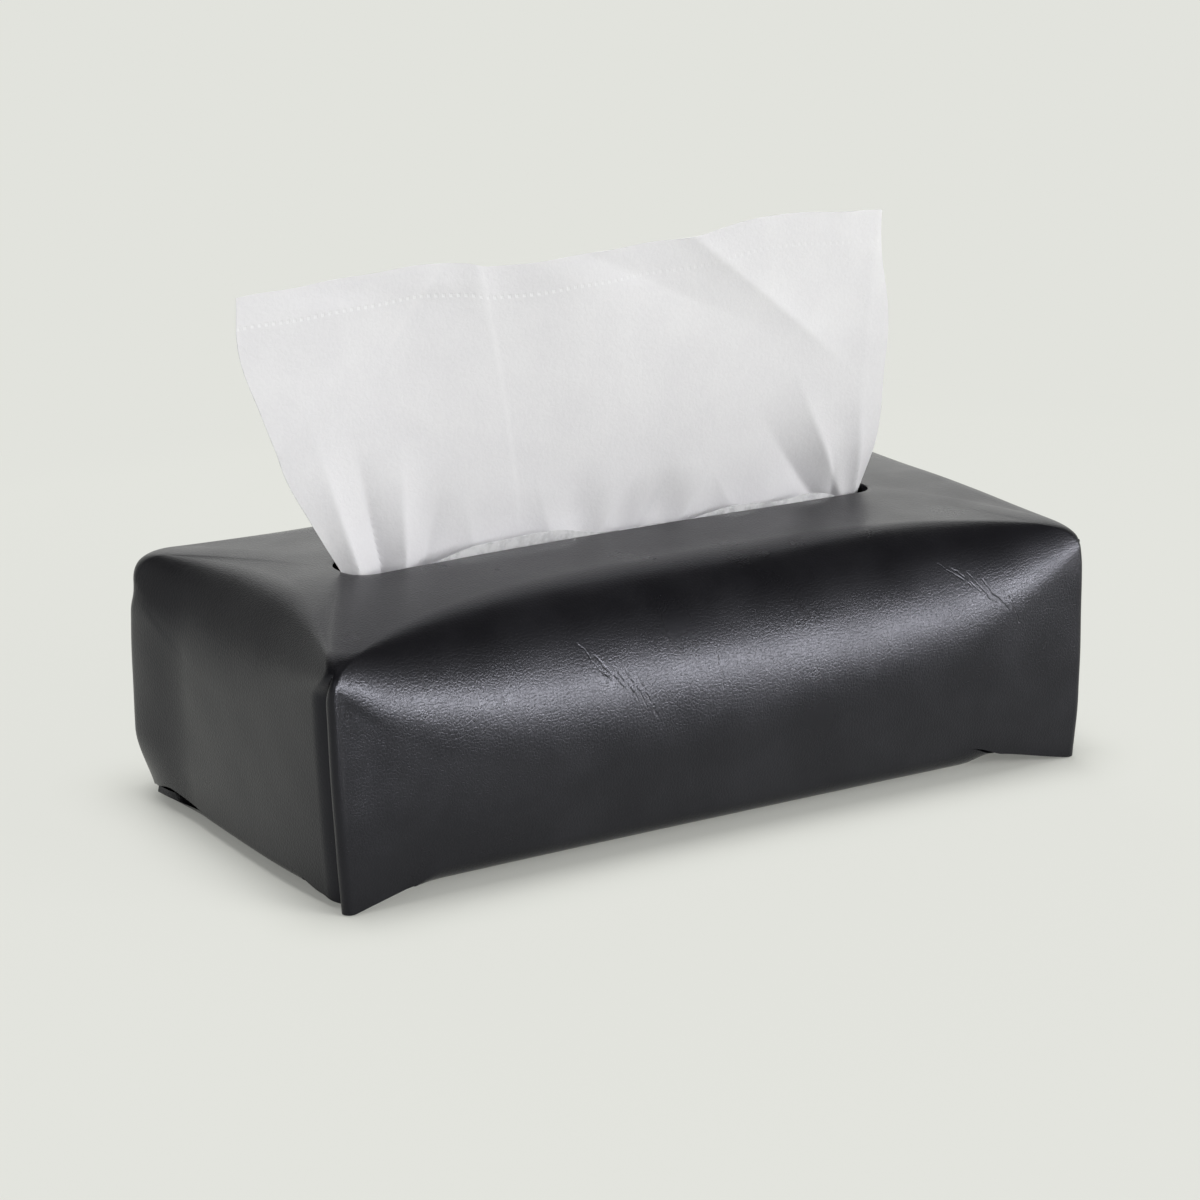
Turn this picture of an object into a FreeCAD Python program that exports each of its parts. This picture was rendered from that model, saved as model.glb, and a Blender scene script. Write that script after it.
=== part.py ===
import FreeCAD, Part
import math
import os
import re
import Sketcher

doc = FreeCAD.newDocument("TissueBoxCover")

# Driving dimensions in millimetres: name, value, what it measures
SIZES = (
    ("cover_length", 258, "outside length at the top of the end walls"),
    ("cover_depth", 130, "outside depth at the top of the long walls"),
    ("wall_height", 74, "where a long wall and the top would meet in a sharp edge"),
    ("end_rise", 1.5, "how much higher an end wall and the top would meet"),
    ("crown_rise", 5, "crown of the top at mid length, above the long walls"),
    ("end_crown_drop", 3, "how much lower the crown lies at the two ends"),
    ("end_arch", 14, "rise of the arch that rounds off the two ends"),
    ("foot_inset", 2, "how far each wall leans in from its top to its foot"),
    ("leather_thick", 2, "thickness of the leather"),
    ("corner_roll", 9, "radius of the long top edges at the corners"),
    ("middle_roll", 26, "radius of the long top edges at mid length"),
    ("end_roll", 13, "radius of the top edges of the two ends"),
    ("slot_length", 186, "tissue slot along the cover"),
    ("slot_width", 20, "tissue slot across the cover"),
    ("slot_end_flat", 4, "straight stretch between the rounded corners of the slot"),
    ("nose_drop", 5, "top of the pleats below the tops of the long walls"),
    ("nose_width", 2, "width of a pleat at its top"),
    ("pleat_gap", 0.4, "gap between a long wall and the pleat behind it"),
    ("pleat_groove", 0.8, "width of the groove that shows at each corner"),
    ("pleat_lift", 0.6, "gap between a pleat and the long flap below it"),
    ("foot_tip", 6, "length of a foot on the table, from the corner"),
    ("long_foot_run", 20, "length of a foot along the long wall"),
    ("end_foot_run", 13, "length of a foot along the end wall"),
    ("fold_clearance", 0.3, "gap between a wall's lower edge and the fold below it"),
    ("fold_flat", 0.1, "flat that stays between the two rounded edges of a fold"),
    ("flap_side_clearance", 0.6, "gap between a flap and the feet beside it"),
    ("end_flap_depth", 52, "end flaps, from the fold to the free edge"),
    ("long_flap_depth", 36, "long flaps, from the fold to the free edge"),
    ("long_flap_cut", 12.6, "how far the ends of a long flap slant in"),
    ("flap_corner", 8, "radius of a flap's free corners"),
    ("end_snap_margin", 22, "press stud from the free edge of an end flap"),
    ("long_snap_margin", 18.6, "press stud from the free edge of a long flap"),
    ("rivet_radius", 1.5, "shanks that pass through the leather"),
    ("rivet_clearance", 0.1, "gap between a shank and its hole"),
    ("cap_lift", 1.1, "press stud caps above the table"),
    ("cap_radius", 6, "press stud cap under an end flap"),
    ("cap_thick", 0.9, "height of the cap"),
    ("cap_rim", 0.35, "height of the cap's rim"),
    ("cap_bevel", 2, "width of the slope round the flat of the cap"),
    ("socket_height", 1.2, "press stud socket on an end flap"),
    ("socket_wall", 2.4, "ring of the socket round its bore"),
    ("socket_floor", 0.2, "thickness of the socket under the bore"),
    ("socket_bevel", 0.4, "bevel on the socket's upper edge"),
    ("stud_radius", 2.2, "nose of the stud under a long flap"),
    ("stud_clearance", 0.4, "gap between the stud and the socket's bore"),
    ("stud_undercut", 0.3, "how much thinner the stud is above and below its nose"),
    ("stud_tip_gap", 0.25, "gap between the stud's tip and the floor of the socket"),
    ("stud_base_radius", 4.6, "base of the stud"),
    ("stud_base_thick", 0.45, "thickness of that base"),
    ("snap_gap", 0.15, "gap between the stud's base and the socket"),
    ("post_radius", 5, "rivet head on top of a long flap"),
    ("post_thick", 0.5, "height of that head"),
    ("post_bevel", 1.5, "width of the slope round the flat of that head"),
    ("carton_seat", 0.3, "gap between the rivet heads and the carton on them"),
    ("carton_end_gap", 7, "room between the carton and the end walls"),
    ("carton_side_gap", 1.8, "room between the carton and the pleats"),
    ("carton_headroom", 13.4, "top of the carton below the tops of the long walls"),
    ("carton_wall", 0.7, "paperboard thickness"),
    ("film_thick", 0.3, "clear film over the carton's opening"),
    ("film_border", 8, "glued border of the film round the opening"),
    ("window_end", 11, "opening in the carton past the ends of the slit"),
    ("window_side", 16, "opening in the carton past the sides of the slit"),
    ("slit_end", 2, "ends of the slit in the film, inside the ends of the slot"),
    ("slit_side", 3, "sides of the slit, inside the sides of the slot"),
    ("lip_end", 2, "ends of the film's raised lips, inside the straight sides of the slot"),
    ("lip_proud", 1.5, "how far the lips stand above the crown"),
    ("lip_clearance", 0.4, "gap between the lips and the edge of the slot"),
    ("stack_gap", 2, "room round the stack in its carton"),
    ("stack_headroom", 12.6, "room above the stack in its carton"),
    ("stack_edge", 4, "rounding of the stack's folded edges"),
    ("tissue_thick", 0.6, "thickness given to a tissue's solid"),
    ("tissue_foot_gap", 0.5, "gap between a raised tissue and the stack below it"),
    ("tissue_end_gap", 3, "gap between the raised tissue and the ends of the slot"),
    ("tissue_left_spread", 24, "top left corner of the tissue, past its edge in the slot"),
    ("tissue_right_spread", -2, "top right corner of the tissue, past its edge in the slot"),
    ("tissue_left_back", 20, "how far the top left corner leans back"),
    ("tissue_right_front", 15, "how far the top right corner leans forward"),
    ("tissue_left_rise", 78, "top left corner above the crown"),
    ("tissue_right_rise", 90, "top right corner above the crown"),
    ("tissue_offset", 1.6, "raised tissue in front of the middle of the slot"),
    ("tissue_fold", 2, "depth of the folds where the tissue is gathered in the slot"),
    ("tissue_swell", 5, "depth of the folds just above the slot"),
    ("tissue_flat", 0.8, "depth of the folds at the top edge"),
    ("next_end", 6, "ends of the next tissue, inside those of the raised one"),
    ("next_offset", 2.6, "next tissue behind the middle of the slot"),
    ("next_drop", 6, "top edge of the next tissue below the crown"),
    ("next_fold", 0.8, "depth of the next tissue's folds"),
    ("overrun", 5, "how far cuts run past the faces that they cut"),
)

sheet = doc.addObject("Spreadsheet::Sheet", "Sizes")
for row, (alias, value, note) in enumerate(SIZES, start=1):
    sheet.set(f"A{row}", alias)
    sheet.set(f"B{row}", str(value))
    sheet.set(f"C{row}", note)
    sheet.setAlias(f"B{row}", alias)
doc.recompute()

parts = []


def size(alias):
    """Value of a driving dimension."""
    return float(sheet.get(alias))


def bound(text):
    """Expression in the names of the driving dimensions, as the document reads it."""
    return re.sub(r"[a-z][a-z_]+", lambda word: f"Sizes.{word.group(0)}", text)


def bind(thing, **expressions):
    """Tie properties of an object to the driving dimensions."""
    for name, text in expressions.items():
        thing.setExpression(name, bound(text))


def seat(thing, along="0", across="0", height="0"):
    """Tie the place of an object to the driving dimensions."""
    thing.setExpression("Placement.Base.x", bound(along))
    thing.setExpression("Placement.Base.y", bound(across))
    thing.setExpression("Placement.Base.z", bound(height))


def node(thing, label):
    """Name a finished sub-part and keep it for writing."""
    thing.Label = label
    parts.append(thing)
    return thing


def boolean(kind, name, base, tool):
    """Part::Cut, Part::Fuse or Part::Common of two objects."""
    result = doc.addObject(kind, name)
    result.Base = base
    result.Tool = tool
    return result


# Sketches with every corner tied to the driving dimensions
def fix_point(sketch, geometry, position, across, up):
    """Tie a point of a sketch to its distances from the sketch's origin."""
    for kind, text in (("DistanceX", across), ("DistanceY", up)):
        index = sketch.addConstraint(Sketcher.Constraint(kind, -1, 1, geometry, position, 1.0))
        sketch.setExpression(f"Constraints[{index}]", bound(text))


def outline(body, role, name, corners, holes=()):
    """Closed outline, with round holes, on one of the body's own planes."""
    sketch = body.newObject("Sketcher::SketchObject", name)
    plane = [feature for feature in body.Origin.OriginFeatures if feature.Role == role][0]
    sketch.AttachmentSupport = [(plane, "")]
    sketch.MapMode = "FlatFace"
    count = len(corners)
    turn = 2 * math.pi / count
    ring = [FreeCAD.Vector(math.cos(turn * k), math.sin(turn * k), 0) for k in range(count)]
    for k in range(count):
        sketch.addGeometry(Part.LineSegment(ring[k], ring[(k + 1) % count]), False)
    for k in range(count):
        sketch.addConstraint(Sketcher.Constraint("Coincident", k, 2, (k + 1) % count, 1))
    for k, (across, up) in enumerate(corners):
        fix_point(sketch, k, 1, across, up)
    for across, up, radius in holes:
        hole = sketch.addGeometry(Part.Circle(), False)
        index = sketch.addConstraint(Sketcher.Constraint("Radius", hole, 1.0))
        sketch.setExpression(f"Constraints[{index}]", bound(radius))
        fix_point(sketch, hole, 3, across, up)
    return sketch


def rectangle(half_length, half_width):
    """Corners of a rectangle about the origin."""
    signs = (("-", "-"), ("", "-"), ("", ""), ("-", ""))
    return [(f"{sx}({half_length})", f"{sy}({half_width})") for sx, sy in signs]


def plate(name, corners, thickness, holes=()):
    """Body padded upwards from an outline on its XY plane."""
    body = doc.addObject("PartDesign::Body", name)
    sketch = outline(body, "XY_Plane", f"{name}_outline", corners, holes)
    pad = body.newObject("PartDesign::Pad", f"{name}_pad")
    pad.Profile = sketch
    bind(pad, Length=thickness)
    doc.recompute()
    return body


def rounded(body, name, radius, chosen):
    """Fillet on those edges of a body for which chosen(edge) is true."""
    base = body.Tip
    edges = [f"Edge{k}" for k, edge in enumerate(base.Shape.Edges, start=1) if chosen(edge)]
    fillet = body.newObject("PartDesign::Fillet", name)
    fillet.Base = (base, edges)
    bind(fillet, Radius=radius)
    doc.recompute()


def turned(name, corners):
    """Body turned about the Z axis from an outline of radii and heights."""
    body = doc.addObject("PartDesign::Body", name)
    sketch = outline(body, "XZ_Plane", f"{name}_outline", corners)
    turning = body.newObject("PartDesign::Revolution", f"{name}_turning")
    turning.Profile = sketch
    turning.ReferenceAxis = (sketch, ["V_Axis"])
    turning.Angle = 360
    return body


def box(name, length, width, height, low):
    """Box from its three sizes, centred on the cover and standing on low."""
    block = doc.addObject("Part::Box", name)
    bind(block, Length=length, Width=width, Height=height)
    seat(block, f"-({length}) / 2", f"-({width}) / 2", low)
    return block


def is_upright(edge):
    """True for a straight vertical edge."""
    return math.isclose(edge.Length, edge.BoundBox.ZLength, rel_tol=1e-6)


# Leather cover: two walls under a shallow arch, in both directions
def arched_outline(half_run, edge_height, top_height, roll, skin, low, place):
    """Outline of two leaning walls under an arch, with rolled edges.

    The arch passes through both wall tops, at edge_height, and through top_height. Each roll touches
    its wall and the arch. The outline lies skin inside the outer face, and its walls end at low.
    """
    lean = size("foot_inset") / edge_height
    stretch = math.hypot(1, lean)
    rise = top_height - edge_height
    arch = (half_run ** 2 + rise ** 2) / (2 * rise)
    middle = top_height - arch
    foot = half_run - size("foot_inset")
    start = foot - roll * stretch
    half_b = start * lean - middle
    rest = start ** 2 + middle ** 2 - (arch - roll) ** 2
    roll_height = (math.sqrt(half_b ** 2 - stretch ** 2 * rest) - half_b) / stretch ** 2
    centre = FreeCAD.Vector(start + lean * roll_height, roll_height, 0)
    wall_way = FreeCAD.Vector(1, -lean, 0).normalize()
    arch_way = (centre - FreeCAD.Vector(0, middle, 0)).normalize()
    half_way = (wall_way + arch_way).normalize()
    bend = [centre + way * (roll - skin) for way in (wall_way, half_way, arch_way)]
    base = FreeCAD.Vector(foot + lean * low - skin * stretch, low, 0)
    right = [place(point.x, point.y) for point in [base] + bend]
    left = [place(-point.x, point.y) for point in [base] + bend]
    top = place(0, top_height - skin)
    edges = [
        Part.LineSegment(left[0], right[0]),
        Part.LineSegment(right[0], right[1]),
        Part.Arc(right[1], right[2], right[3]),
        Part.Arc(right[3], top, left[3]),
        Part.Arc(left[3], left[2], left[1]),
        Part.LineSegment(left[1], left[0]),
    ]
    return Part.Wire([edge.toShape() for edge in edges])


def soft_block(name, skin, low):
    """Pillow-shaped block, skin inside the outer face of the leather, with its walls ending at low.

    Sections across the cover are lofted along it, softer in the middle than at the corners, and an
    arched prism across the cover rounds off the two ends.
    """
    half_length = size("cover_length") / 2
    half_depth = size("cover_depth") / 2
    station_shares = (-1, -0.75, -0.4, 0, 0.4, 0.75, 1)
    sections = []
    for share in station_shares:
        softness = 1 - share ** 2
        roll = size("corner_roll") + (size("middle_roll") - size("corner_roll")) * softness
        top = size("wall_height") + size("crown_rise") - size("end_crown_drop") * share ** 2
        station = share * (half_length + size("overrun"))
        section = arched_outline(
            half_depth, size("wall_height"), top, roll, skin, low,
            lambda across, height, station=station: FreeCAD.Vector(station, across, height))
        sections.append(section)
    along = doc.addObject("Part::Feature", f"{name}_along")
    along.Shape = Part.makeLoft(sections, True)
    end_height = size("wall_height") + size("end_rise")
    run_past = half_depth + size("overrun")
    profile = arched_outline(
        half_length, end_height, end_height + size("end_arch"), size("end_roll"), skin, low,
        lambda across, height: FreeCAD.Vector(across, -run_past, height))
    across = doc.addObject("Part::Feature", f"{name}_across")
    across.Shape = Part.Face(profile).extrude(FreeCAD.Vector(0, 2 * run_past, 0))
    return boolean("Part::Common", name, along, across)


# Levels and lines that several pieces share
CROWN = "wall_height + crown_rise"
SLOT_CORNER = "(slot_width - slot_end_flat) / 2"
END_FLAP_LOW = "cap_lift + cap_thick"
END_FLAP_TOP = f"{END_FLAP_LOW} + leather_thick"
LONG_FLAP_LOW = f"{END_FLAP_TOP} + socket_height + snap_gap + stud_base_thick"
LONG_FLAP_TOP = f"{LONG_FLAP_LOW} + leather_thick"
END_AXIS = f"{END_FLAP_LOW} + leather_thick / 2"
LONG_AXIS = f"{LONG_FLAP_LOW} + leather_thick / 2"
END_LEAN = f"foot_inset * (1 - ({END_AXIS}) / (wall_height + end_rise))"
LONG_LEAN = f"foot_inset * (1 - ({LONG_AXIS}) / wall_height)"
END_FOLD = f"cover_length / 2 - leather_thick / 2 - {END_LEAN}"
LONG_FOLD = f"cover_depth / 2 - leather_thick / 2 - {LONG_LEAN}"
SNAP_ALONG = f"{END_FOLD} - end_flap_depth + end_snap_margin"
SNAP_ACROSS = f"{LONG_FOLD} - long_flap_depth + long_snap_margin"
PLEAT_FRONT = "leather_thick + pleat_gap"
GROOVE_FRONT = f"{PLEAT_FRONT} + leather_thick"
GROOVE_BACK = f"{GROOVE_FRONT} + pleat_groove"
PLEAT_BACK = f"{GROOVE_BACK} + leather_thick"
CARTON_LOW = f"{LONG_FLAP_TOP} + post_thick + carton_seat"
CARTON_TOP = "wall_height - carton_headroom"
STACK_LOW = f"{CARTON_LOW} + carton_wall"
STACK_HEIGHT = f"{CARTON_TOP} - carton_wall - stack_headroom - ({STACK_LOW})"
FILM_LOW = f"{CARTON_TOP} - carton_wall - film_thick"
SIDES = (("left", -1), ("right", 1))
FACES = (("front", -1), ("back", 1))


def pleat_wedge(name, side, face, outer, low, leg, nose, top, front, back):
    """Right-angled wedge behind a long wall, leaning with it, widest at its foot.

    It starts at the distance outer from the middle of the cover, is leg long at the height low and
    nose long at the height top, and lies between the depths front and back behind the wall's face.
    """
    wedge = doc.addObject("Part::Wedge", name)
    if side * face < 0:
        bind(wedge, Xmin=f"{outer} - ({leg})", Xmax=outer)
        bind(wedge, X2min=f"{outer} - ({nose})", X2max=outer)
    else:
        bind(wedge, Xmin=f"-({outer})", Xmax=f"{leg} - ({outer})")
        bind(wedge, X2min=f"-({outer})", X2max=f"{nose} - ({outer})")
    bind(wedge, Ymin=low, Ymax=top)
    bind(wedge, Zmin=f"-({back})", Zmax=f"-({front})", Z2min=f"-({back})", Z2max=f"-({front})")
    lean = math.degrees(math.atan(size("foot_inset") / size("wall_height")))
    upright = FreeCAD.Rotation(FreeCAD.Vector(1, 0, 0), 90 + lean)
    about = FreeCAD.Rotation(FreeCAD.Vector(0, 0, 1), 90 + 90 * face)
    wedge.Placement = FreeCAD.Placement(FreeCAD.Vector(), about.multiply(upright))
    seat(wedge, across=f"{face} * (cover_depth / 2 - foot_inset)")
    return wedge


def lift(name, plane, half_run, foot_run, foot, reach):
    """Trapezoid prism that cuts a wall's lower edge clear of the table between its two feet."""
    tip = f"{half_run} - foot_inset - foot_tip"
    fold = f"{half_run} - {foot_run}"
    flare = f"overrun * ({tip} - ({fold})) / ({foot})"
    body = doc.addObject("PartDesign::Body", name)
    corners = (
        (f"-({tip} + {flare})", "-overrun"),
        (f"{tip} + {flare}", "-overrun"),
        (fold, foot),
        (f"-({fold})", foot),
    )
    pad = body.newObject("PartDesign::Pad", f"{name}_pad")
    pad.Profile = outline(body, plane, f"{name}_outline", corners)
    pad.SideType = "Symmetric"
    bind(pad, Length=reach)
    return body


def make_cover():
    """The leather sheet: top, walls, feet and a pleat behind each end of the long walls."""
    outer = soft_block("outer_form", 0, -size("overrun"))
    inner = soft_block("inner_form", size("leather_thick"), -2 * size("overrun"))
    shell = boolean("Part::Cut", "shell", outer, inner)
    table = box("table", "2 * cover_length", "2 * cover_depth", "2 * overrun", "-2 * overrun")
    cover = boolean("Part::Cut", "standing_shell", shell, table)
    corners = [(f"{face_name}_{side_name}", side, face)
               for face_name, face in FACES for side_name, side in SIDES]
    half_length = "cover_length / 2"
    half_depth = "cover_depth / 2"
    nose = "wall_height - nose_drop"
    pleat_low = f"{LONG_FLAP_TOP} + pleat_lift"
    leg = f"{nose} + nose_width - ({pleat_low})"
    for corner, side, face in corners:
        block = pleat_wedge(f"pleat_block_{corner}", side, face, half_length, pleat_low, leg,
                            "nose_width", nose, PLEAT_FRONT, PLEAT_BACK)
        pleat = boolean("Part::Common", f"pleat_{corner}", outer, block)
        cover = boolean("Part::Fuse", f"cover_with_{corner}", cover, pleat)
    groove_top = f"{nose} - 2 * leather_thick"
    groove_leg = f"{nose} + nose_width - 2 * leather_thick + 2 * overrun"
    for corner, side, face in corners:
        groove = pleat_wedge(f"groove_{corner}", side, face, f"{half_length} + overrun", "-overrun",
                             groove_leg, "nose_width + overrun", groove_top, GROOVE_FRONT, GROOVE_BACK)
        cover = boolean("Part::Cut", f"cover_grooved_{corner}", cover, groove)
    long_lift = lift("long_lift", "XZ_Plane", half_length, "long_foot_run",
                     f"{LONG_FLAP_TOP} + fold_clearance", "2 * cover_depth")
    end_lift = lift("end_lift", "YZ_Plane", half_depth, "end_foot_run",
                    f"{END_FLAP_TOP} + fold_clearance", "2 * cover_length")
    cover = boolean("Part::Cut", "cover_lifted_long", cover, long_lift)
    cover = boolean("Part::Cut", "cover_lifted_end", cover, end_lift)
    slot = plate("slot_tool", rectangle("slot_length / 2", "slot_width / 2"), CROWN)
    rounded(slot, "slot_rounding", SLOT_CORNER, is_upright)
    seat(slot, height=f"({CROWN}) / 2")
    node(boolean("Part::Cut", "slotted_cover", cover, slot), "leather_cover")


# Flaps: the edge at the fold is a half round about the fold's axis
def make_flap(label, fold, depth, low, half, cut, snaps, snap_line, swap):
    """One bottom flap, with holes for the shanks of its two press studs.

    The fold is a sign and a distance from the middle of the cover, and snap_line is that of the press
    studs. The flap is drawn with its fold along Y, and swap turns it so that its fold is along X.
    """
    sign, distance = fold
    rim = f"{sign} * ({distance} + leather_thick / 2)"
    free = f"{sign} * ({distance} - {depth})"
    studs = f"{sign} * ({snap_line})"
    hole = "rivet_radius + rivet_clearance"
    corners = [(rim, f"-({half})"), (rim, half), (free, f"{half} - {cut}"), (free, f"{cut} - ({half})")]
    holes = [(studs, f"-({snaps})", hole), (studs, snaps, hole)]
    if swap:
        corners = [(second, first) for first, second in corners]
        holes = [(second, first, radius) for first, second, radius in holes]
    flap = plate(label, corners, "leather_thick", holes)

    def distance_of(edge):
        """Distance of an edge from the middle of the cover, square to the fold."""
        return abs(edge.CenterOfMass.y if swap else edge.CenterOfMass.x)

    fold_line = max(distance_of(edge) for edge in flap.Shape.Edges)
    free_line = min(distance_of(edge) for edge in flap.Shape.Edges if is_upright(edge))
    rounded(flap, f"{label}_free_corners", "flap_corner",
            lambda edge: is_upright(edge) and math.isclose(distance_of(edge), free_line))
    rounded(flap, f"{label}_fold", "(leather_thick - fold_flat) / 2",
            lambda edge: not is_upright(edge) and math.isclose(distance_of(edge), fold_line))
    seat(flap, height=low)
    node(flap, label)


def make_flaps():
    """Two end flaps below two long flaps."""
    end_half = "cover_depth / 2 - end_foot_run - flap_side_clearance"
    long_half = "cover_length / 2 - long_foot_run - flap_side_clearance"
    for name, side in SIDES:
        make_flap(f"{name}_flap", (side, END_FOLD), "end_flap_depth", END_FLAP_LOW, end_half, "0",
                  SNAP_ACROSS, SNAP_ALONG, False)
    for name, face in FACES:
        make_flap(f"{name}_flap", (face, LONG_FOLD), "long_flap_depth", LONG_FLAP_LOW, long_half,
                  "long_flap_cut", SNAP_ALONG, SNAP_ACROSS, True)


# Press studs: cap and socket ride on an end flap, stud and post on a long flap
SOCKET_BORE = "stud_radius + stud_clearance"
STUD_NECK = "stud_radius - stud_undercut"
STUD_REACH = "socket_height - socket_floor + snap_gap - stud_tip_gap"
SNAP_PIECES = {
    "cap": (END_FLAP_LOW, (
        ("0", "-cap_thick"),
        ("cap_radius - cap_bevel", "-cap_thick"),
        ("cap_radius", "-cap_rim"),
        ("cap_radius", "0"),
        ("rivet_radius", "0"),
        ("rivet_radius", "leather_thick"),
        ("0", "leather_thick"),
    )),
    "socket": (END_FLAP_TOP, (
        ("0", "0"),
        (f"{SOCKET_BORE} + socket_wall", "0"),
        (f"{SOCKET_BORE} + socket_wall", "socket_height - socket_bevel"),
        (f"{SOCKET_BORE} + socket_wall - socket_bevel", "socket_height"),
        (SOCKET_BORE, "socket_height"),
        (SOCKET_BORE, "socket_floor"),
        ("0", "socket_floor"),
    )),
    "stud": (LONG_FLAP_LOW, (
        ("0", "0"),
        ("stud_base_radius", "0"),
        ("stud_base_radius", "-stud_base_thick"),
        (STUD_NECK, "-stud_base_thick"),
        ("stud_radius", f"-stud_base_thick - ({STUD_REACH}) / 2"),
        (STUD_NECK, f"-stud_base_thick - ({STUD_REACH})"),
        ("0", f"-stud_base_thick - ({STUD_REACH})"),
    )),
    "post": (LONG_FLAP_TOP, (
        ("0", "-leather_thick"),
        ("rivet_radius", "-leather_thick"),
        ("rivet_radius", "0"),
        ("post_radius", "0"),
        ("post_radius - post_bevel", "post_thick"),
        ("0", "post_thick"),
    )),
}


def make_press_studs():
    """Cap, socket, stud and post of the press stud at each corner."""
    for face_name, face in FACES:
        for side_name, side in SIDES:
            for kind, (height, corners) in SNAP_PIECES.items():
                label = f"snap_{kind}_{face_name}_{side_name}"
                piece = turned(label, corners)
                seat(piece, f"{side} * ({SNAP_ALONG})", f"{face} * ({SNAP_ACROSS})", height)
                node(piece, label)


# Tissue pack: carton, film window with raised lips, stack of tissues
CARTON_LENGTH = "cover_length - 2 * (foot_inset + leather_thick + carton_end_gap)"
CARTON_DEPTH = f"cover_depth - 2 * (foot_inset + {PLEAT_BACK} + carton_side_gap)"
SLIT_LENGTH = "slot_length - 2 * slit_end"
SLIT_WIDTH = "slot_width - 2 * slit_side"
WINDOW_LENGTH = f"{SLIT_LENGTH} + 2 * window_end"
WINDOW_WIDTH = f"{SLIT_WIDTH} + 2 * window_side"
LIP_LENGTH = f"slot_length - 2 * ({SLOT_CORNER} + lip_end)"
LIP_RISE = f"{CROWN} + lip_proud - ({FILM_LOW})"


def make_carton():
    """Closed paperboard carton with an opening in its top panel."""
    block = box("carton_block", CARTON_LENGTH, CARTON_DEPTH, f"{CARTON_TOP} - ({CARTON_LOW})", CARTON_LOW)
    room = box("carton_room", f"{CARTON_LENGTH} - 2 * carton_wall", f"{CARTON_DEPTH} - 2 * carton_wall",
               f"{CARTON_TOP} - carton_wall - ({STACK_LOW})", STACK_LOW)
    window = box("carton_window", WINDOW_LENGTH, WINDOW_WIDTH, "2 * overrun", f"{CARTON_TOP} - overrun")
    hollow = boolean("Part::Cut", "carton_hollow", block, room)
    node(boolean("Part::Cut", "carton_open", hollow, window), "tissue_carton")


def make_film():
    """Film glued under the top panel, with a slit whose lips stand up in the leather's slot."""
    film = box("film_sheet", f"{WINDOW_LENGTH} + 2 * film_border", f"{WINDOW_WIDTH} + 2 * film_border",
               "film_thick", FILM_LOW)
    slit = box("film_slit", SLIT_LENGTH, SLIT_WIDTH, "2 * overrun", f"{FILM_LOW} - overrun")
    result = boolean("Part::Cut", "film_cut", film, slit)
    for name, face in FACES:
        lip = doc.addObject("Part::Box", f"film_lip_{name}")
        bind(lip, Length=LIP_LENGTH, Width="film_thick", Height=LIP_RISE)
        doc.recompute()
        spread = size("slit_side") - size("film_thick") - size("lip_clearance")
        lean = math.degrees(math.atan2(spread, lip.Height.Value))
        lip.Placement.Rotation = FreeCAD.Rotation(FreeCAD.Vector(1, 0, 0), -face * lean)
        inner = f"({SLIT_WIDTH}) / 2" if face > 0 else f"-({SLIT_WIDTH}) / 2 - film_thick"
        seat(lip, f"-({LIP_LENGTH}) / 2", inner, FILM_LOW)
        result = boolean("Part::Fuse", f"film_with_lip_{name}", result, lip)
    node(result, "film_window")


def make_stack():
    """Stack of folded tissues, with soft folded edges along both long sides."""
    half_length = f"({CARTON_LENGTH}) / 2 - carton_wall - stack_gap"
    half_depth = f"({CARTON_DEPTH}) / 2 - carton_wall - stack_gap"
    stack = plate("tissue_stack", rectangle(half_length, half_depth), STACK_HEIGHT)
    side = max(vertex.Y for vertex in stack.Shape.Vertexes)
    rounded(stack, "stack_folds", "stack_edge",
            lambda edge: not is_upright(edge) and math.isclose(abs(edge.CenterOfMass.y), side))
    seat(stack, height=STACK_LOW)
    doc.recompute()
    return node(stack, "tissue_stack")


# Tissues: a scalloped band at each level, lofted upwards
FOLD_SPAN_SHARES = (0, 0.07, 0.15, 0.27, 0.43, 0.62, 0.8, 0.88, 0.94, 1)
FOLD_DEPTH_SHARES = (-0.7, 0.9, -0.6, 0.5, -0.35, 0.4, -0.7, 0.9, -0.6)


def scalloped_band(left, right, depth):
    """Closed band between two points, bowed in turn to the front and to the back."""
    thick = FreeCAD.Vector(0, size("tissue_thick"), 0)
    joints = [left + (right - left) * share for share in FOLD_SPAN_SHARES]
    spans = []
    for start, end, share in zip(joints, joints[1:], FOLD_DEPTH_SHARES):
        bow = (start + end) / 2 + FreeCAD.Vector(0, depth * share, 0)
        spans.append((start, bow, end))
    front = [Part.Arc(start, bow, end) for start, bow, end in spans]
    back = [Part.Arc(end + thick, bow + thick, start + thick) for start, bow, end in reversed(spans)]
    right_side = Part.LineSegment(joints[-1], joints[-1] + thick)
    left_side = Part.LineSegment(joints[0] + thick, joints[0])
    return Part.Wire([edge.toShape() for edge in front + [right_side] + back + [left_side]])


def make_tissue(label, bands):
    """Tissue lofted through its bands."""
    tissue = doc.addObject("Part::Feature", label)
    tissue.Shape = Part.makeLoft(bands, True, True)
    node(tissue, label)


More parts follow.
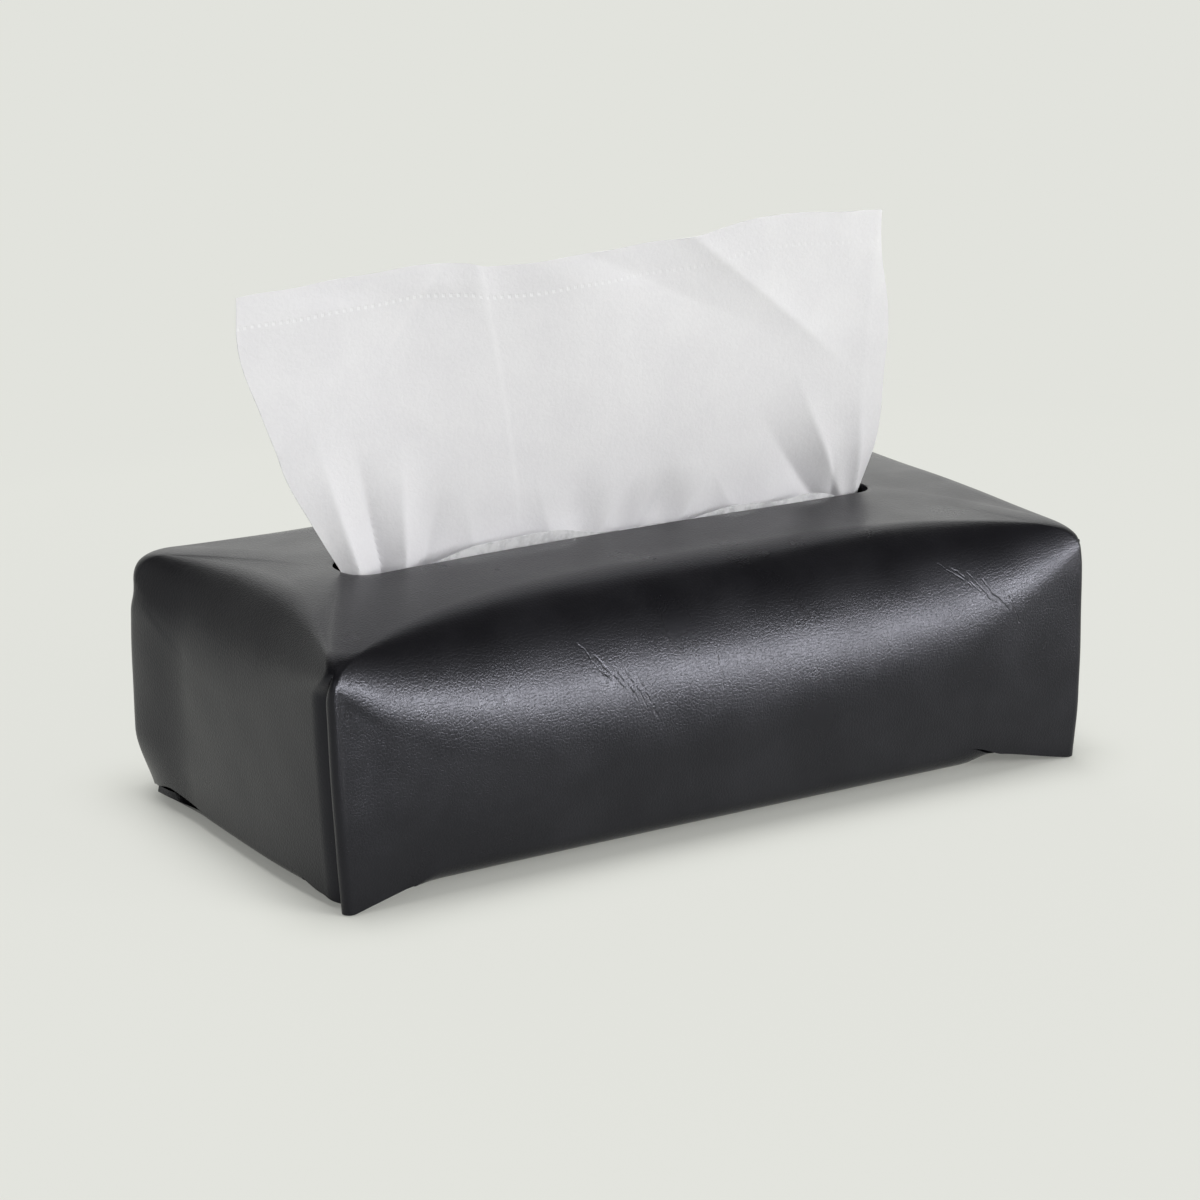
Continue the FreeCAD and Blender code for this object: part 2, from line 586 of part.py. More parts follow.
def make_tissues(foot):
    """Raised tissue, which opens out from the slot to its flat top edge, and the next one behind it."""
    crown = size("wall_height") + size("crown_rise")
    half = size("slot_length") / 2 - size("tissue_end_gap")
    line = -size("tissue_offset")
    slot_left = FreeCAD.Vector(-half, line, crown)
    slot_right = FreeCAD.Vector(half, line, crown)
    down = FreeCAD.Vector(0, 0, foot - crown)
    to_left = FreeCAD.Vector(-size("tissue_left_spread"), size("tissue_left_back"), size("tissue_left_rise"))
    to_right = FreeCAD.Vector(size("tissue_right_spread"), -size("tissue_right_front"),
                              size("tissue_right_rise"))
    bands = [
        scalloped_band(slot_left + down, slot_right + down, size("tissue_fold")),
        scalloped_band(slot_left, slot_right, size("tissue_fold")),
    ]
    level_shares = (0.3, 0.62, 1)
    for share in level_shares:
        gathered = (1 - share) ** 2
        depth = size("tissue_flat") + (size("tissue_swell") - size("tissue_flat")) * gathered
        bands.append(scalloped_band(slot_left + to_left * share, slot_right + to_right * share, depth))
    make_tissue("raised_tissue", bands)

    next_half = half - size("next_end")
    bands = []
    for height in (foot, crown - size("next_drop")):
        left = FreeCAD.Vector(-next_half, size("next_offset"), height)
        right = FreeCAD.Vector(next_half, size("next_offset"), height)
        bands.append(scalloped_band(left, right, size("next_fold")))
    make_tissue("next_tissue", bands)


make_cover()
make_flaps()
make_press_studs()
make_carton()
make_film()
stack = make_stack()
make_tissues(stack.Shape.BoundBox.ZMax + size("tissue_foot_gap"))
doc.recompute()

# Nothing is written unless every object is sound
for thing in doc.Objects:
    if "Invalid" in thing.State or "Error" in thing.State:
        raise RuntimeError(f"{thing.Label} could not be rebuilt: {thing.State}")
for part in parts:
    if part.Shape.isNull() or not part.Shape.isValid():
        raise RuntimeError(f"{part.Label} is not a sound solid")
    if len(part.Shape.Solids) != 1:
        raise RuntimeError(f"{part.Label} is in {len(part.Shape.Solids)} solids")

os.makedirs("parts", exist_ok=True)
for part in parts:
    part.Shape.exportStep(f"parts/{part.Label}.step")
    print(f"{part.Label}: {part.Shape.Volume:.1f} mm3")
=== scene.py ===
"""Looks of a soft black leather tissue box cover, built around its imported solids.

The cover is one thick sheet that is folded like a gift wrap, with a pleat at each upright corner and four
flaps below. Every surface here is a grid of points worked out as whole arrays, in metres, with +X along
the cover to the right, +Y to the back and +Z up.
"""

from __future__ import annotations

import logging
import math
from dataclasses import dataclass
from enum import Enum

import bpy
import numpy as np
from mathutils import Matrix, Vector

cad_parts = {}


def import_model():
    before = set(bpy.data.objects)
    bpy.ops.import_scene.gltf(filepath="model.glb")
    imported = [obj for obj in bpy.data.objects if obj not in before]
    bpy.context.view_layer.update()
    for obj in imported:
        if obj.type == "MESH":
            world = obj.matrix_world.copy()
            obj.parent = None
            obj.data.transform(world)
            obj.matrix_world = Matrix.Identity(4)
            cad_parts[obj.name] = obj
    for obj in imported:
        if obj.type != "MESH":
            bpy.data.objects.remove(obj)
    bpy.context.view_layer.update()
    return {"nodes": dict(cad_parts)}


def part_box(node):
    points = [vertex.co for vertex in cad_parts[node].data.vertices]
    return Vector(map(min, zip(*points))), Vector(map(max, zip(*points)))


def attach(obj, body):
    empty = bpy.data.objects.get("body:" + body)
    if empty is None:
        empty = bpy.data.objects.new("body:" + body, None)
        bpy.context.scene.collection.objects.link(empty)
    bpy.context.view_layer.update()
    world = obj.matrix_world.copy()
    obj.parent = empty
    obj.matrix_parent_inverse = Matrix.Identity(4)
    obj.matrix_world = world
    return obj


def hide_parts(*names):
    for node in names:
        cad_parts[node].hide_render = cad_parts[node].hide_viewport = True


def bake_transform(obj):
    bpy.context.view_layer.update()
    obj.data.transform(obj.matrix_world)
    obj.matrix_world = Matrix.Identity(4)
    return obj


log = logging.getLogger("tissue_cover")

MM = 0.001
SHARP_ANGLE = math.radians(42)
EDGE_SHARES = (0.08, 0.3, 0.7, 0.92)
EDGE_POWER = 0.6
RIPPLE_WAVES = 5
CROWN_LIFT = 1.2 * MM
CRIMP_PLACE = 9.5 * MM


class Corner(Enum):
    """The four upright corners, each with its sign along X and along Y."""

    FRONT_LEFT = (-1, -1)
    FRONT_RIGHT = (1, -1)
    BACK_RIGHT = (1, 1)
    BACK_LEFT = (-1, 1)


class Side(Enum):
    """The four walls: name of the flap's body, way along the wall and way out of it."""

    FRONT = ("front_flap", (1, 0), (0, -1))
    RIGHT = ("right_flap", (0, 1), (1, 0))
    BACK = ("back_flap", (-1, 0), (0, 1))
    LEFT = ("left_flap", (0, -1), (-1, 0))


class Lit(Enum):
    """What a lamp lights: all, only matt light, or only gloss."""

    ALL = "all"
    MATT = "matt"
    GLOSS = "gloss"


# Small functions on arrays


def ease(value: np.ndarray, start: float, end: float) -> np.ndarray:
    """Smooth step from 0 at start to 1 at end.

    Args:
        value: Where the step is read.
        start: Value at which it is 0.
        end: Value at which it is 1.

    Returns:
        The step, 3 t squared less 2 t cubed.
    """
    share = np.clip((np.asarray(value, float) - start) / (end - start), 0, 1)
    return share * share * (3 - 2 * share)


def bell(value: np.ndarray, middle: float, width: float) -> np.ndarray:
    """Bell curve that is 1 at middle and falls to 0.37 at width from it."""
    return np.exp(-(((np.asarray(value, float) - middle) / width) ** 2))


def mix(first: np.ndarray, second: np.ndarray, share: np.ndarray) -> np.ndarray:
    """Straight mix of two arrays."""
    return first + (second - first) * share


def curve(places: np.ndarray, knots: tuple, values: tuple) -> np.ndarray:
    """Smooth curve through a few given knots (monotone cubic pieces).

    Args:
        places: Where the curve is read.
        knots: Rising places of the knots.
        values: Value at each knot.

    Returns:
        The curve's value at each place.
    """
    knots = np.asarray(knots, float)
    values = np.asarray(values, float)
    run = np.diff(knots)
    slope = np.diff(values) / run
    tangent = np.concatenate(([slope[0]], (slope[:-1] + slope[1:]) / 2, [slope[-1]]))
    flat = np.concatenate(([False], slope[:-1] * slope[1:] <= 0, [False]))
    tangent[flat] = 0
    places = np.clip(np.asarray(places, float), knots[0], knots[-1])
    cell = np.clip(np.searchsorted(knots, places, side="right") - 1, 0, len(run) - 1)
    share = (places - knots[cell]) / run[cell]
    start, end = values[cell], values[cell + 1]
    rise, fall = tangent[cell] * run[cell], tangent[cell + 1] * run[cell]
    return (
        (2 * share**3 - 3 * share**2 + 1) * start
        + (share**3 - 2 * share**2 + share) * rise
        + (3 * share**2 - 2 * share**3) * end
        + (share**3 - share**2) * fall
    )


def ripple(points: np.ndarray, length: float, seed: int) -> np.ndarray:
    """Soft unevenness: a few crossed sine waves with seeded ways and phases.

    Args:
        points: Array of points, with the coordinates last.
        length: Typical wave length in metres.
        seed: Seed of the ways and phases.

    Returns:
        Values of about -1 to 1, one for each point.
    """
    draw = np.random.default_rng(seed)
    total = np.zeros(points.shape[:-1])
    for _ in range(RIPPLE_WAVES):
        way = draw.normal(size=3)
        way *= 2 * math.pi / (length * draw.uniform(0.7, 1.6)) / np.linalg.norm(way)
        total += np.sin(points @ way + draw.uniform(0, 2 * math.pi))
    return total / RIPPLE_WAVES


def grid_normals(grid: np.ndarray, closed: bool) -> np.ndarray:
    """Outward unit normals of a grid: the way along a column crossed with the way along a row.

    Args:
        grid: Rows by columns by three.
        closed: True where the last column joins the first.

    Returns:
        One normal for each point.
    """
    down = np.gradient(grid, axis=0)
    if closed:
        along = np.roll(grid, -1, axis=1) - np.roll(grid, 1, axis=1)
    else:
        along = np.gradient(grid, axis=1)
    normal = np.cross(down, along)
    length = np.linalg.norm(normal, axis=-1, keepdims=True)
    return normal / np.maximum(length, 1e-12)


def grid_corners(rows: int, columns: int, closed: bool) -> tuple[np.ndarray, np.ndarray]:
    """Corners of a grid's faces, each face going down, along and up again.

    Args:
        rows: Number of rows.
        columns: Number of columns.
        closed: True where the last column joins the first.

    Returns:
        Row and column of each face's four corners; the column isn't wrapped round.
    """
    across, down = np.meshgrid(np.arange(columns if closed else columns - 1), np.arange(rows - 1))
    corner_rows = np.stack([down, down + 1, down + 1, down], -1).reshape(-1, 4)
    corner_columns = np.stack([across, across, across + 1, across + 1], -1).reshape(-1, 4)
    return corner_rows, corner_columns


# Meshes


@dataclass
class Sheet:
    """A sheet with thickness, from one grid of points on its outer face.

    Attributes:
        grid: Rows by columns by three.
        thick: Thickness, laid inwards: one for all, or one for each column.
        closed: True where the last column joins the first.
        rounding: How far a cut edge swells past the straight cut, for the first and the last row.
    """

    grid: np.ndarray
    thick: float | np.ndarray
    closed: bool = False
    rounding: tuple = (0.0, 0.0)

    def build(self, name: str) -> bpy.types.Object:
        """Make the object, with the outer face in slot 0, the inner in slot 1 and cut edges in slot 2."""
        return mesh_object(name, *self.arrays())

    def arrays(self) -> tuple[np.ndarray, np.ndarray, np.ndarray, np.ndarray]:
        """Outer face, inner face and cut edges of the sheet.

        Returns:
            Points, faces, material slot of each face and UV of each face corner.
        """
        rows, columns = self.grid.shape[:2]
        normal = grid_normals(self.grid, self.closed)
        inner = self.grid - normal * np.reshape(self.thick, (-1, 1))
        points = [self.grid.reshape(-1, 3), inner.reshape(-1, 3)]
        count = rows * columns
        corner_rows, corner_columns = grid_corners(rows, columns, self.closed)
        outer_faces = corner_rows * columns + corner_columns % columns
        faces = [outer_faces, count + outer_faces[:, ::-1]]
        lengths = self.lengths()
        uv = lengths[corner_rows, np.minimum(corner_columns, lengths.shape[1] - 1)]
        uvs = [uv, uv[:, ::-1]]
        slots = [np.zeros(len(outer_faces), int), np.ones(len(outer_faces), int)]
        made = 2 * count
        for row, swell, flip in ((0, self.rounding[0], False), (rows - 1, self.rounding[1], True)):
            ring = np.arange(columns)
            step = self.grid[row] - self.grid[1 if row == 0 else rows - 2]
            step /= np.maximum(np.linalg.norm(step, axis=-1, keepdims=True), 1e-9)
            bands = [row * columns + ring]
            for share in EDGE_SHARES if swell else ():
                lift = step * swell * math.sin(math.pi * share) ** EDGE_POWER
                points.append(mix(self.grid[row], inner[row], share) + lift)
                bands.append(made + ring)
                made += columns
            bands.append(count + row * columns + ring)
            faces += [self.strip(first, second, flip) for first, second in zip(bands[:-1], bands[1:])]
        if not self.closed:
            for column, flip in ((0, True), (columns - 1, False)):
                line = np.arange(rows) * columns + column
                faces.append(self.strip(line, count + line, flip, False))
        for strip in faces[2:]:
            uvs.append(np.zeros((len(strip), 4, 2)))
            slots.append(np.full(len(strip), 2))
        return np.concatenate(points), np.concatenate(faces), np.concatenate(slots), np.concatenate(uvs)

    def lengths(self) -> np.ndarray:
        """Flat place of the grid points in metres: mean length along the rows, and down the columns.

        Returns:
            Rows by columns by two, with one column more where the grid is closed.
        """
        grid = np.concatenate([self.grid, self.grid[:, :1]], 1) if self.closed else self.grid
        across = np.linalg.norm(np.diff(grid, axis=1), axis=-1).mean(0)
        down = np.linalg.norm(np.diff(grid, axis=0), axis=-1).mean(1)
        across = np.concatenate(([0], np.cumsum(across)))
        down = np.concatenate(([0], np.cumsum(down)))
        return np.stack(np.broadcast_arrays(across[None, :], down[:, None]), -1)

    def strip(self, first: np.ndarray, second: np.ndarray, flip: bool, loop: bool = True) -> np.ndarray:
        """Faces between two lines of points.

        Args:
            first: Point numbers of the first line.
            second: Point numbers of the second line.
            flip: True to turn the faces round.
            loop: True where the lines close on themselves on a closed grid.

        Returns:
            Four point numbers for each face.
        """
        if loop and self.closed:
            faces = np.stack([first, np.roll(first, -1), np.roll(second, -1), second], -1)
        else:
            faces = np.stack([first[:-1], first[1:], second[1:], second[:-1]], -1)
        return faces[:, ::-1] if flip else faces


def mesh_object(name: str, points: np.ndarray, faces: np.ndarray | list, slots: np.ndarray | None = None,
                uvs: np.ndarray | None = None) -> bpy.types.Object:
    """Link a new smooth-shaded object with its place in its mesh.

    Args:
        name: Name of the piece.
        points: Points, n by three.
        faces: Faces, m by three or four point numbers.
        slots: Material slot of each face.
        uvs: UV of each face corner, m by corners by two.

    Returns:
        The new object.
    """
    mesh = bpy.data.meshes.new(name)
    mesh.from_pydata(points.tolist(), [], faces if isinstance(faces, list) else faces.tolist())
    if slots is not None:
        mesh.polygons.foreach_set("material_index", slots.astype(np.int32))
    if uvs is not None:
        layer = mesh.uv_layers.new(name="Flat")
        layer.uv.foreach_set("vector", uvs.astype(np.float32).ravel())
    mesh.shade_smooth()
    mesh.set_sharp_from_angle(angle=SHARP_ANGLE)
    mesh.update()
    made = bpy.data.objects.new(name, mesh)
    bpy.context.scene.collection.objects.link(made)
    return made


def dress(piece: bpy.types.Object, *materials: bpy.types.Material) -> bpy.types.Object:
    """Put materials on a piece in place of what it has.

    Args:
        piece: The piece.
        materials: Its materials, in slot order.

    Returns:
        The same piece.
    """
    piece.data.materials.clear()
    for material in materials:
        piece.data.materials.append(material)
    return piece


@dataclass(frozen=True)
class LeatherSet:
    """The leather's three materials: grain side, flesh side and cut edge."""

    grain: bpy.types.Material
    flesh: bpy.types.Material
    edge: bpy.types.Material

    def all(self) -> tuple[bpy.types.Material, ...]:
        """The materials in slot order."""
        return self.grain, self.flesh, self.edge


# Leather cover


@dataclass(frozen=True)
class Foot:
    """One corner's foot: its lower edges, and how far it stands out or in at the floor.

    Attributes:
        long_run: How far from the corner the slanting edge reaches the long wall's fold.
        end_run: The same along the end wall.
        long_lift: Height of the lens-shaped opening over the long wall's fold.
        end_lift: The same over the end wall's fold.
        long_open: How far from the corner that opening ends on the long wall.
        end_open: The same on the end wall.
        out_x: How far the foot stands out along X at the floor.
        out_y: The same along Y.
        tuck: How far the last stretch above the floor curves in.
        flare: How far the end wall swells out beside the pleat.
        lip_in: How far the long wall's lip is drawn in behind the end wall.
        crest: How much higher the corner's top edge lies than usual.
        tip: How far the corner's lower tip is raised above the floor.
        soft: Share of the end wall's wide roll that this half of it takes.
        valley: Depth of the hollow in the long wall beside the pleat.
        nose_round: Radius of the corner in plan just above the pleat.
    """

    long_run: float = 21 * MM
    end_run: float = 13 * MM
    long_lift: float = 0.0
    end_lift: float = 0.0
    long_open: float = 48 * MM
    end_open: float = 48 * MM
    out_x: float = -1.5 * MM
    out_y: float = -1.5 * MM
    tuck: float = 0.5 * MM
    flare: float = 0.0
    lip_in: float = 0.0
    crest: float = 0.0
    tip: float = 0.0
    soft: float = 1.0
    valley: float = 0.0
    nose_round: float = 2.4 * MM


FEET = {
    Corner.FRONT_LEFT: Foot(out_x=-3.5 * MM, out_y=0.0, valley=0.7 * MM),
    Corner.FRONT_RIGHT: Foot(
        long_run=27 * MM, long_lift=1.2 * MM, out_x=1.5 * MM, out_y=-0.5 * MM, crest=2 * MM, soft=0.35
    ),
    Corner.BACK_LEFT: Foot(
        end_run=12 * MM, end_lift=1.2 * MM, out_x=0.0, out_y=0.0, tuck=4 * MM, flare=3.0 * MM,
        lip_in=2.2 * MM, tip=2.6 * MM, crest=1.2 * MM, nose_round=7 * MM,
    ),
    Corner.BACK_RIGHT: Foot(crest=3 * MM, soft=0.35),
}


@dataclass
class LeatherCover:
    """Top, walls and pleats: one closed grid from the slot's edge over the top and down the walls.

    Pairs named roll are a width and a height, edge_slopes are degrees at the corner and away from it, and
    the powers shape how a bulge, a lean or a draw-in grows down the wall. A crowding says how far the
    spacing of columns or rows leaves an even one.
    """

    crown: float
    half_length: float = 130.4 * MM
    half_depth: float = 65.4 * MM
    long_fold: float = 8.8 * MM
    end_fold: float = 5.2 * MM
    thick: float = 2.0 * MM
    pleat_thick: float = 0.4 * MM
    slot_half_length: float = 93 * MM
    slot_half_width: float = 10 * MM
    slot_corner: float = 8 * MM
    slot_end_drop: float = 0.8 * MM
    corner_roll: tuple = (7.5 * MM, 8.5 * MM)
    long_roll: tuple = (26 * MM, 49 * MM)
    end_roll: tuple = (22 * MM, 30 * MM)
    edge_slopes: tuple = (8.0, 1.0)
    roll_growth: float = 1.6
    long_edge: float = 80.2 * MM
    corner_edge: float = 74.6 * MM
    end_edge: float = 78.7 * MM
    long_bulge: float = 2.0 * MM
    end_bulge: float = 1.0 * MM
    long_in: float = 3.0 * MM
    end_in: float = 1.0 * MM
    corner_bulge: float = 0.6
    bulge_fade: float = 0.4
    belly_power: float = 0.8
    lean_power: float = 1.6
    waist_power: float = 2.5
    floor_gap: float = 0.3 * MM
    tip_power: float = 1.5
    foot_tip: float = 3.0 * MM
    foot_share: float = 0.5
    foot_rise: float = 14 * MM
    tuck_height: float = 22 * MM
    nose: float = 72.5 * MM
    nose_run: float = 10 * MM
    flare_run: float = 14 * MM
    lip: float = 2.2 * MM
    groove: float = 1.5 * MM
    end_lip: float = 6.0 * MM
    top_round: float = 6.5 * MM
    valley_place: float = 9 * MM
    valley_width: float = 6 * MM
    valley_fade: tuple = (15 * MM, 45 * MM)
    ripples: tuple = ((0.35 * MM, 70 * MM, 3), (0.10 * MM, 24 * MM, 8))
    ripple_fade: tuple = (10 * MM, 26 * MM)
    slot_edge: float = 0.35 * MM
    top_rows: int = 22
    roll_rows: int = 22
    wall_rows: int = 52
    long_columns: int = 60
    end_columns: int = 30
    lip_columns: int = 11
    quarter_turn: int = 10
    long_crowding: float = 1.35
    end_crowding: float = 1.3
    corner_crowding: float = 0.55
    slot_crowding: float = 0.4
    wall_crowding: float = 0.25
    top_crowding: float = 0.2
    run_shares: tuple = (0.12, 0.4, 0.75)
    crease_share: float = 0.15
    lens_share: float = 0.25
    round_span: tuple = (0.2, 1.0)
    flare_span: tuple = (0.45, 1.0)

    def __post_init__(self) -> None:
        """Lay out a quarter's columns: shares along the long wall and along the end wall, 1 at the corner."""
        share = np.linspace(0, 1, self.long_columns, endpoint=False)
        self.long_share = 1 - (1 - share) ** self.long_crowding
        share = np.linspace(1, 0, self.end_columns + 1)[1:]
        self.end_share = 1 - (1 - share) ** self.end_crowding
        self.fold_along, self.fold_inward, self.fold_run = self.pleat()
        self.pleat_columns = len(self.fold_along)

    def pleat(self) -> tuple[np.ndarray, np.ndarray, np.ndarray]:
        """Path round the pleat in plan, from the long wall to the end wall.

        The long wall folds back in a half circle, runs in behind itself to the crease, comes out again,
        and turns a quarter circle into the end wall.

        Returns:
            Distance from the corner along the long wall, distance along the end wall, and the share of the
            pleat's depth that is added to the first, for each column.
        """
        turn = np.linspace(0, math.pi, self.lip_columns)
        quarter = np.linspace(0, math.pi / 2, self.quarter_turn)
        run = np.array(self.run_shares)
        shares = np.concatenate([np.zeros(len(turn)), run, [1, 1], run[::-1], np.zeros(len(quarter))])
        middle = np.full(2 * len(run) + 2, self.lip)
        along = np.concatenate([
            self.lip * (1 - np.sin(turn)), middle, self.end_lip * (1 - np.sin(quarter))
        ])
        back = 2 * self.lip
        out = back + self.groove
        inset = self.crease_share * self.groove
        crease = [back + inset, out - inset]
        inward = np.concatenate([
            self.lip * (1 - np.cos(turn)), np.full(len(run), back), crease, np.full(len(run), out),
            out + self.end_lip * (1 - np.cos(quarter)),
        ])
        return along, inward, shares

    def corner_angle(self, crowding: float) -> np.ndarray:
        """Angle round a quarter circle at each of the pleat's columns, crowded at its middle."""
        place = np.linspace(-1, 1, self.pleat_columns)
        return math.pi / 4 * (1 + mix(place, place**3, crowding))

    def corner(self, radius: np.ndarray) -> tuple[np.ndarray, np.ndarray]:
        """Plain rounded corner in plan, with as many columns as the pleat.

        Args:
            radius: Radius at each row.

        Returns:
            Distance from the corner along the long wall and along the end wall, rows by columns.
        """
        angle = self.corner_angle(self.corner_crowding)
        return radius[:, None] * (1 - np.sin(angle)), radius[:, None] * (1 - np.cos(angle))

    def foot_edge(self, distance: np.ndarray, run: float, fold: float, lift: float, end: float,
                  tip: float) -> np.ndarray:
        """Height of a wall's lower edge.

        It slants up to the fold's lower side, rises round the fold, and may have a lens-shaped opening there.
        The tip's own height is added at the corner, and fades away from it.

        Args:
            distance: Distance from the corner.
            run: Where the slant reaches the fold.
            fold: Height of the fold's upper side.
            lift: Height of the opening.
            end: Where the opening ends.
            tip: How far the tip is raised above the floor.

        Returns:
            The height at each distance.
        """
        slant = self.foot_share * np.clip((distance - self.foot_tip) / (run - self.foot_tip), 0, 1)
        edge = fold * (slant + (1 - self.foot_share) * ease(distance, run, run + self.foot_rise))
        middle = mix(run, end, self.lens_share)
        lens = lift * ease(distance, self.foot_tip, middle) * (1 - ease(distance, middle, end))
        return self.floor_gap + edge + lens + tip * (1 - np.clip(distance / end, 0, 1)) ** self.tip_power

    def low_edge(self, foot: Foot) -> np.ndarray:
        """Height of a quarter's lower edge.

        Args:
            foot: The foot at this corner.

        Returns:
            The height at each column.
        """
        long_reach = self.half_length * (1 - self.long_share) + self.lip * self.long_share
        end_reach = self.half_depth * (1 - self.end_share) + self.fold_inward[-1] * self.end_share
        on_end = np.arange(self.pleat_columns) >= self.pleat_columns - self.quarter_turn
        behind = self.fold_along + self.fold_run * (self.nose - self.long_fold)
        long_shape = (foot.long_run, self.long_fold, foot.long_lift, foot.long_open, foot.tip)
        end_shape = (foot.end_run, self.end_fold, foot.end_lift, foot.end_open, foot.tip)
        pleat_low = np.where(
            on_end, self.foot_edge(self.fold_inward, *end_shape), self.foot_edge(behind, *long_shape)
        )
        return np.concatenate([
            self.foot_edge(long_reach, *long_shape), pleat_low, self.foot_edge(end_reach, *end_shape)
        ])

    def slot_ring(self) -> np.ndarray:
        """A quarter of the slot's edge: a straight side, a round corner and half of the short end.

        Returns:
            One point for each column.
        """
        angle = self.corner_angle(self.slot_crowding)
        corner_x = self.slot_half_length - self.slot_corner * (1 - np.sin(angle))
        corner_y = self.slot_half_width - self.slot_corner * (1 - np.cos(angle))
        long_x = self.long_share * corner_x[0]
        end_y = self.end_share * corner_y[-1]
        x = np.concatenate([long_x, corner_x, np.full(len(end_y), self.slot_half_length)])
        y = np.concatenate([np.full(len(long_x), self.slot_half_width), corner_y, end_y])
        z = self.crown - self.slot_end_drop * (x / self.slot_half_length) ** 2
        return np.stack([x, -y, z], -1)

    def roll(self, start: np.ndarray) -> tuple[np.ndarray, np.ndarray]:
        """Section of the roll from the top to the wall, which bends little at first and more further down.

        Args:
            start: Slope angle at which each column leaves the top.

        Returns:
            Share of the roll's width and share of its height at each row, rows by columns.
        """
        share = np.linspace(0, 1, self.roll_rows)[:, None]
        angle = mix(start, math.pi / 2, share**self.roll_growth)
        middle = (angle[1:] + angle[:-1]) / 2
        zero = np.zeros((1, len(start)))
        run = np.concatenate([zero, np.cumsum(np.cos(middle), 0)])
        drop = np.concatenate([zero, np.cumsum(np.sin(middle), 0)])
        return run / run[-1], drop / drop[-1]

    def ring(self, foot: Foot, height: np.ndarray, draw_in: np.ndarray, run: np.ndarray) -> np.ndarray:
        """Rolls and walls of a quarter.

        A row is a rectangle in plan, drawn in by the roll above the walls, swollen by the belly and moved by
        the foot's lean. Its corner is mixed from a plain round one at the top to the pleat below the nose.

        Args:
            foot: The foot at this corner.
            height: Height of each point, rows by columns.
            draw_in: How far the roll draws each point in from the wall.
            run: Share of the roll's width that is behind each point.

        Returns:
            Rows by columns by three.
        """
        longs = len(self.long_share)
        pleat = slice(longs, longs + self.pleat_columns)
        ends = slice(longs + self.pleat_columns, None)
        drop = np.clip(1 - height / self.long_edge, 0, 1)
        belly = np.sin(math.pi * drop) ** self.belly_power
        tuck = foot.tuck * (1 - ease(height, 0, self.tuck_height))
        lean_x = foot.out_x * drop**self.lean_power - tuck
        lean_y = foot.out_y * drop**self.lean_power - tuck
        corner_in = self.corner_roll[0] * (1 - run[:, pleat])
        bulges = (self.end_bulge, self.long_bulge)
        swell_x, swell_y = (self.corner_bulge * bulge * belly[:, pleat] for bulge in bulges)
        reach_x = self.half_length - corner_in + lean_x[:, pleat] + swell_x
        reach_y = self.half_depth - corner_in + lean_y[:, pleat] + swell_y
        below = np.clip(self.nose - height[:, pleat], 0, None)
        folded = ease(below, 0, self.nose_run)
        flare = foot.flare * ease(self.nose - height, 0, self.flare_run)
        radius = mix(self.top_round, foot.nose_round, ease(run[:, longs], *self.round_span))
        plain_along, plain_inward = self.corner(radius)
        along = mix(plain_along, self.fold_along + self.fold_run * below, folded)
        inward = mix(plain_inward, np.broadcast_to(self.fold_inward, along.shape), folded)
        x = np.empty(height.shape)
        y = np.empty(height.shape)
        on_end = np.arange(self.pleat_columns) >= self.pleat_columns - self.quarter_turn
        x[:, pleat] = reach_x - along + np.where(on_end, flare[:, pleat], -foot.lip_in * folded)
        y[:, pleat] = -(reach_y - inward)
        x[:, :longs] = self.long_share * x[:, pleat][:, :1]
        swell = self.long_bulge * belly[:, :longs] * (1 - self.bulge_fade * self.long_share**4)
        waist = -self.long_in * drop[:, :longs] ** self.waist_power
        swell += mix(waist, lean_y[:, :longs], self.long_share**3)
        y[:, :longs] = -(self.half_depth - draw_in[:, :longs] + swell)
        y[:, ends] = self.end_share * y[:, pleat][:, -1:]
        swell = self.end_bulge * belly[:, ends] * (1 - self.bulge_fade * self.end_share**4)
        waist = -self.end_in * drop[:, ends] ** self.waist_power
        swell += mix(waist, lean_x[:, ends], self.end_share**3)
        swell += flare[:, ends] * ease(self.end_share, *self.flare_span)
        x[:, ends] = self.half_length - draw_in[:, ends] + swell
        dent = bell(self.half_length - x[:, :longs], self.valley_place, self.valley_width)
        fade = ease(height[:, :longs], *self.valley_fade) * folded[:, :1]
        y[:, :longs] += foot.valley * dent * fade
        return np.stack([x, y, height], -1)

    def quarter(self, foot: Foot) -> np.ndarray:
        """Grid of the front right quarter, from mid front round the corner to mid right.

        Args:
            foot: The foot at this corner.

        Returns:
            Rows by columns by three.
        """
        away = np.concatenate([
            1 - self.long_share**3, np.zeros(self.pleat_columns), np.cos(math.pi / 2 * self.end_share)
        ])
        on_end = np.arange(len(away)) >= len(self.long_share) + self.pleat_columns
        wide = np.where(on_end, foot.soft, 1) * away
        roll_in, roll_down = (
            mix(self.corner_roll[axis], np.where(on_end, self.end_roll[axis], self.long_roll[axis]), wide)
            for axis in (0, 1)
        )
        edge = mix(self.corner_edge + foot.crest, np.where(on_end, self.end_edge, self.long_edge), away)
        run, drop = self.roll(np.radians(mix(*self.edge_slopes, away)))
        fall = np.linspace(0, 1, self.wall_rows + 1)[1:, None]
        fall = mix(fall, (1 - np.cos(math.pi * fall)) / 2, self.wall_crowding)
        height = np.concatenate([edge - roll_down * drop, mix(edge - roll_down, self.low_edge(foot), fall)])
        run = np.concatenate([run, np.ones((self.wall_rows, len(away)))])
        shell = self.ring(foot, height, roll_in * (1 - run), run)
        inner = self.slot_ring()
        share = np.linspace(0, 1, self.top_rows, endpoint=False)[:, None, None]
        share = mix(share, share**2, self.top_crowding)
        top = mix(inner, shell[0], share)
        top[..., 2] = inner[:, 2] + (shell[0, :, 2] - inner[:, 2]) * share[..., 0] ** 2
        return np.concatenate([top, shell])

